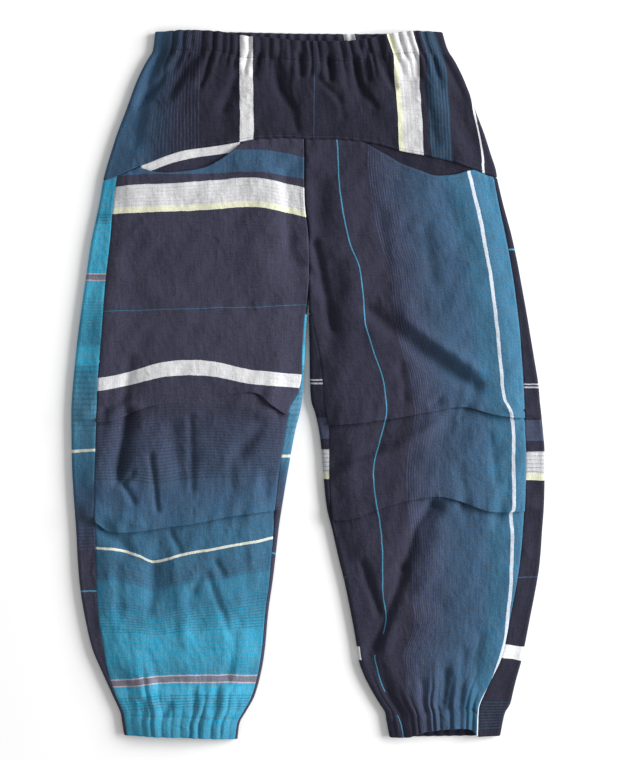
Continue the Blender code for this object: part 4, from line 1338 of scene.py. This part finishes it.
def line_down(leg, line, share, front_x=None, back_x=None):
    """How far down a line of a back panel lies. x is given where the yoke seam lies on it."""
    if line == "top":
        return (yoke_seam(front_x) if back_x is None else back_yoke_seam(back_x)) + SEAM_GAP / 2
    if line == "crotch":
        return CROTCH_DOWN - CROTCH_RISE * (1 - share)
    if line in ("upper", "lower"):
        tuck = leg.tuck_lines[0 if line == "upper" else 1]
        return mix(tuck(0), tuck(1), share)
    hem = leg.back_hem(share) if back_x is not None else leg.front_hem(share)
    return hem - HEM_CASING_HEIGHT if line == "casing" else hem


def back_leg(leg, name, material, node, drift):
    """A back leg panel: on the ground, and up round the side folds to both seams."""
    rows = back_rows()
    fraction = np.array([t for _, _, t in rows])[:, None]
    lines = [(above, below) for above, below, _ in rows]

    def rows_down(share, front_x=None, back_x=None):
        given = [x for x in (front_x, back_x) if x is not None]
        above = np.zeros(np.broadcast(fraction, share, *given).shape)
        below = above.copy()
        for name_above, name_below in dict.fromkeys(lines):
            picked = np.array([pair == (name_above, name_below) for pair in lines])[:, None]
            above = np.where(picked, line_down(leg, name_above, share, front_x, back_x), above)
            below = np.where(picked, line_down(leg, name_below, share, front_x, back_x), below)
        return mix(above, below, fraction)

    def wrapped(share, steps):
        """A side fold from the seam on top down to the ground, with the cloth passed on the way."""
        fold = leg.outer_fold if share == 0 else leg.inner_fold
        seam = leg.outseam if share == 0 else leg.inseam
        towards = -leg.side if share == 0 else leg.side
        down = rows_down(np.array(float(share)), front_x=fold(THIGH_DOWN))
        for _ in range(3):
            inset = np.maximum(np.abs(seam(down[:, :1]) - fold(down[:, :1])) - SEAM_GAP / 2, 1.0)
            turned = np.arcsin(np.clip((FOLD_RADIUS - inset) / FOLD_RADIUS, 0.0, 1.0))
            flat_part = np.maximum(inset - FOLD_RADIUS, 0.0)
            gone = (flat_part + FOLD_RADIUS * (math.pi - turned)) * steps
            angle = turned + (gone - flat_part) / FOLD_RADIUS
            on_top = gone < flat_part
            inward = np.where(on_top, inset - gone, FOLD_RADIUS * (1 - np.sin(angle)))
            x = fold(down) + towards * inward
            down = rows_down(np.array(float(share)), front_x=x) + 0 * x
        smooth = [ease(0.5 + (down - line(share)) / 10) for line in leg.tuck_lines]
        clear = ease(np.maximum(inward - FREE_EDGE, 0) / 16)
        top = lying(leg, x, down) + tuck_height(leg, np.array(float(share)), down, smooth) * clear
        top = top + rolled(gone, 0.4)
        height = np.where(on_top, top, FOLD_RADIUS * (1 + np.cos(angle)))
        return x, down, height, gone

    outer_x, outer_down, outer_height, outer_gone = wrapped(0, np.linspace(0, 1, 25)[None, :])
    inner_x, inner_down, inner_height, inner_gone = wrapped(1, np.linspace(1, 0, 13)[None, :])
    below_crotch = np.array([above != "top" for above, _ in lines])[:, None]
    ground_share = np.linspace(0, 1, 46)[None, 1:]
    side_down = rows_down(np.array(1.0), front_x=leg.inner_fold(THIGH_DOWN))
    reach = np.where(below_crotch, FOLD_RADIUS, SEAM_GAP / 2)
    ground_end = leg.inner_fold(side_down) + leg.side * reach
    ground_x = mix(outer_x[:, -1:], ground_end, ground_share)
    ground_down = rows_down(ground_share, back_x=ground_x)
    hem_line = leg.back_hem(ground_share) - HEM_CASING_HEIGHT
    to_casing = np.maximum(hem_line - ground_down, 0.0)
    beat = 2 * ANKLE_GATHERS * ground_share
    gathered = millimetres("ankle_gather") * (0.5 - 0.5 * np.cos(math.pi * beat))
    gathered = gathered * (1 - ease(to_casing / 34))
    sides = ease(np.minimum(ground_share, 1 - ground_share) / 0.06)
    swell = 0.7 * np.maximum(ripples(ground_x, ground_down, 46, 52), 0) * sides
    ground_height = gathered + swell * ease((ground_down - 200) / 20)
    ground_gone = outer_gone[:, -1:] + np.abs(ground_x - outer_x[:, -1:])
    inner_gone = ground_gone[:, -1:] + inner_gone[:, :1] - inner_gone

    x = np.concatenate([outer_x, ground_x, inner_x[:, 1:]], axis=1)
    down = np.concatenate([outer_down, ground_down, inner_down[:, 1:]], axis=1)
    height = np.concatenate([outer_height, ground_height, inner_height[:, 1:]], axis=1)
    gone = np.concatenate([outer_gone, ground_gone, inner_gone[:, 1:]], axis=1)
    keep = np.ones(x.shape, bool)
    keep[:, 1 - inner_x.shape[1]:] = below_crotch
    along = drifted(drift, BACK_DRIFT_SHARES, np.clip(gone / BACK_GIRTH, 0.0, 1.0), down)
    arrays = (x, down, height, gone, along, keep)
    cloth = Cloth(*(arrays if leg.side > 0 else [grid[:, ::-1] for grid in arrays]))
    for side in ("first", "last") if leg.side > 0 else ("last", "first"):
        cloth.lapped(side, ALLOWANCE, ALLOWANCE_SUNK)
    cloth.lapped("top", TOP_ALLOWANCE, ALLOWANCE_SUNK)
    cloth.turned_in(HEM_TURNED_ROWS, millimetres("casing_gap"))
    piece = cloth_piece(name, cloth, material)
    settle(piece, node)


def back_legs():
    """Both back leg panels."""
    turquoise_cloth = striped_cloth(
        "right back cloth", RIGHT_BACK_TONES, RIGHT_BACK_BANDS, RIGHT_BACK_FINE
    )
    navy_cloth = striped_cloth("left back cloth", LEFT_BACK_TONES, LEFT_BACK_BANDS, LEFT_BACK_FINE)
    back_leg(
        RIGHT, "right_back_leg_cloth", turquoise_cloth, "back_leg_right",
        RIGHT_BACK_DRIFT,
    )
    back_leg(
        LEFT, "left_back_leg_cloth", navy_cloth, "back_leg_left",
        LEFT_BACK_DRIFT,
    )


def pocket_bag(leg, name, material, node):
    """The pocket's inner layer: sewn to the yoke along the mouth, then down under the front leg."""
    start, end = leg.mouth_ends[0] + BAG_INSET, leg.mouth_ends[1] - BAG_INSET
    share = np.linspace(0, 1, 46)[None, :]
    depth = np.concatenate([np.linspace(-3.0, 34, 26), np.linspace(38, BAG_DEPTH, 22)])[:, None]
    x = mix(start, end, share) + 0 * depth
    corner = 22 * np.abs(2 * share - 1) ** 3 * depth / BAG_DEPTH
    down = yoke_seam(x) + SEAM_GAP / 2 + depth - corner
    sunk = curve([(-3, 1.9), (0.5, 2.0), (5, 2.9), (14, 3.4), (40, 3.6), (BAG_DEPTH, 3.6)])(depth)
    height = lying(leg, x, down) - sunk
    cloth = Cloth(x, down, height, x, depth - corner)
    piece = cloth_piece(name, cloth, material)
    settle(piece, node)


def pocket_bags():
    """Both pockets' inner layers."""
    pale_topped = striped_cloth("right pocket cloth", RIGHT_BAG_TONES, RIGHT_BAG_BANDS)
    dark = striped_cloth("left pocket cloth", LEFT_BAG_TONES)
    pocket_bag(RIGHT, "right_pocket_bag_cloth", pale_topped, "pocket_bag_right")
    pocket_bag(LEFT, "left_pocket_bag_cloth", dark, "pocket_bag_left")


def floor_material():
    """A pale matte surface with a faint grain."""
    recipe = Recipe("pale floor")
    place = recipe.node("ShaderNodeTexCoord", {}).outputs["Object"]
    grain = recipe.noise(place, 300.0, 3.0)
    recipe.dye(yarn("floor"), recipe.varied(grain, 1.0, 0.01))
    recipe.feed(recipe.shader.inputs["Roughness"], recipe.varied(grain, 0.9, 0.05))
    recipe.raise_surface(grain, 0.2, 0.1 * MM)
    recipe.shader.inputs["Specular IOR Level"].default_value = 0.1
    return recipe.material


def stage():
    """The floor, the light from the right, the camera straight above, and the colours as they are."""
    scene = bpy.context.scene
    mesh = bpy.data.meshes.new("floor")
    turns = ((-1, -1), (1, -1), (1, 1), (-1, 1))
    corners = [(x * FLOOR_HALF, y * FLOOR_HALF, -FLOOR_DROP) for x, y in turns]
    mesh.from_pydata(corners, [], [(0, 1, 2, 3)])
    mesh.materials.append(floor_material())
    floor = bpy.data.objects.new("floor", mesh)
    scene.collection.objects.link(floor)

    light = bpy.data.lights.new("window", "AREA")
    light.shape, light.energy = "RECTANGLE", WINDOW_POWER
    light.size, light.size_y = WINDOW_WIDTH, WINDOW_LENGTH
    window = bpy.data.objects.new("window", light)
    window.location = WINDOW_PLACE
    aside, along, up = WINDOW_PLACE
    window.rotation_euler = (0.0, math.atan2(WINDOW_REACH, up), math.atan2(along, aside))
    scene.collection.objects.link(window)

    world = bpy.data.worlds.new("studio")
    world.use_nodes = True
    background = world.node_tree.nodes["Background"]
    background.inputs["Color"].default_value = (1.0, 1.0, 1.0, 1.0)
    background.inputs["Strength"].default_value = STUDIO_STRENGTH
    scene.world = world

    lens = bpy.data.cameras.new("camera")
    lens.sensor_fit, lens.sensor_height, lens.lens = "VERTICAL", CAMERA_SENSOR, CAMERA_LENS
    camera = bpy.data.objects.new("camera", lens)
    camera.location = CAMERA_PLACE
    scene.collection.objects.link(camera)
    scene.camera = camera
    scene.view_settings.view_transform = "Standard"


class FrontYokeOperator(bpy.types.Operator):
    """Builds the front yoke's cloth"""

    bl_idname = "trousers.front_yoke"
    bl_label = "Front Yoke"

    def execute(self, context):
        front_yoke()
        return {"FINISHED"}


class BackYokeOperator(bpy.types.Operator):
    """Builds the back yoke's cloth"""

    bl_idname = "trousers.back_yoke"
    bl_label = "Back Yoke"

    def execute(self, context):
        back_yoke()
        return {"FINISHED"}


class FrontLegsOperator(bpy.types.Operator):
    """Builds both front leg panels' cloth"""

    bl_idname = "trousers.front_legs"
    bl_label = "Front Legs"

    def execute(self, context):
        front_legs()
        return {"FINISHED"}


class BackLegsOperator(bpy.types.Operator):
    """Builds both back leg panels' cloth"""

    bl_idname = "trousers.back_legs"
    bl_label = "Back Legs"

    def execute(self, context):
        back_legs()
        return {"FINISHED"}


class PocketBagsOperator(bpy.types.Operator):
    """Builds both pockets' inner layers"""

    bl_idname = "trousers.pocket_bags"
    bl_label = "Pocket Bags"

    def execute(self, context):
        pocket_bags()
        return {"FINISHED"}


class StageOperator(bpy.types.Operator):
    """Sets the floor, the light, the camera and the view"""

    bl_idname = "trousers.stage"
    bl_label = "Stage"

    def execute(self, context):
        stage()
        return {"FINISHED"}


OPERATORS = (
    FrontYokeOperator, BackYokeOperator, FrontLegsOperator, BackLegsOperator, PocketBagsOperator,
    StageOperator,
)


class TrousersPanel(bpy.types.Panel):
    """The trousers' settings and a button for each group of pieces"""

    bl_idname = "VIEW3D_PT_trousers"
    bl_label = "Laid-Flat Trousers"
    bl_space_type = "VIEW_3D"
    bl_region_type = "UI"
    bl_category = "Trousers"

    def draw(self, context):
        column = self.layout.column()
        for settings in (context.scene.trouser_sizes, context.scene.trouser_colours):
            for setting in type(settings).__annotations__:
                column.prop(settings, setting)
        for operator in OPERATORS:
            column.operator(operator.bl_idname)


CLASSES = (TrouserColours, TrouserSizes, *OPERATORS, TrousersPanel)


def register():
    for each in CLASSES:
        bpy.utils.register_class(each)
    bpy.types.Scene.trouser_colours = PointerProperty(type=TrouserColours)
    bpy.types.Scene.trouser_sizes = PointerProperty(type=TrouserSizes)


def unregister():
    del bpy.types.Scene.trouser_sizes
    del bpy.types.Scene.trouser_colours
    for each in reversed(CLASSES):
        bpy.utils.unregister_class(each)


def main():
    """Builds the look."""
    register()
    for operator in OPERATORS:
        getattr(bpy.ops.trousers, operator.bl_idname.split(".")[1])()


if __name__ == "__main__":
    main()
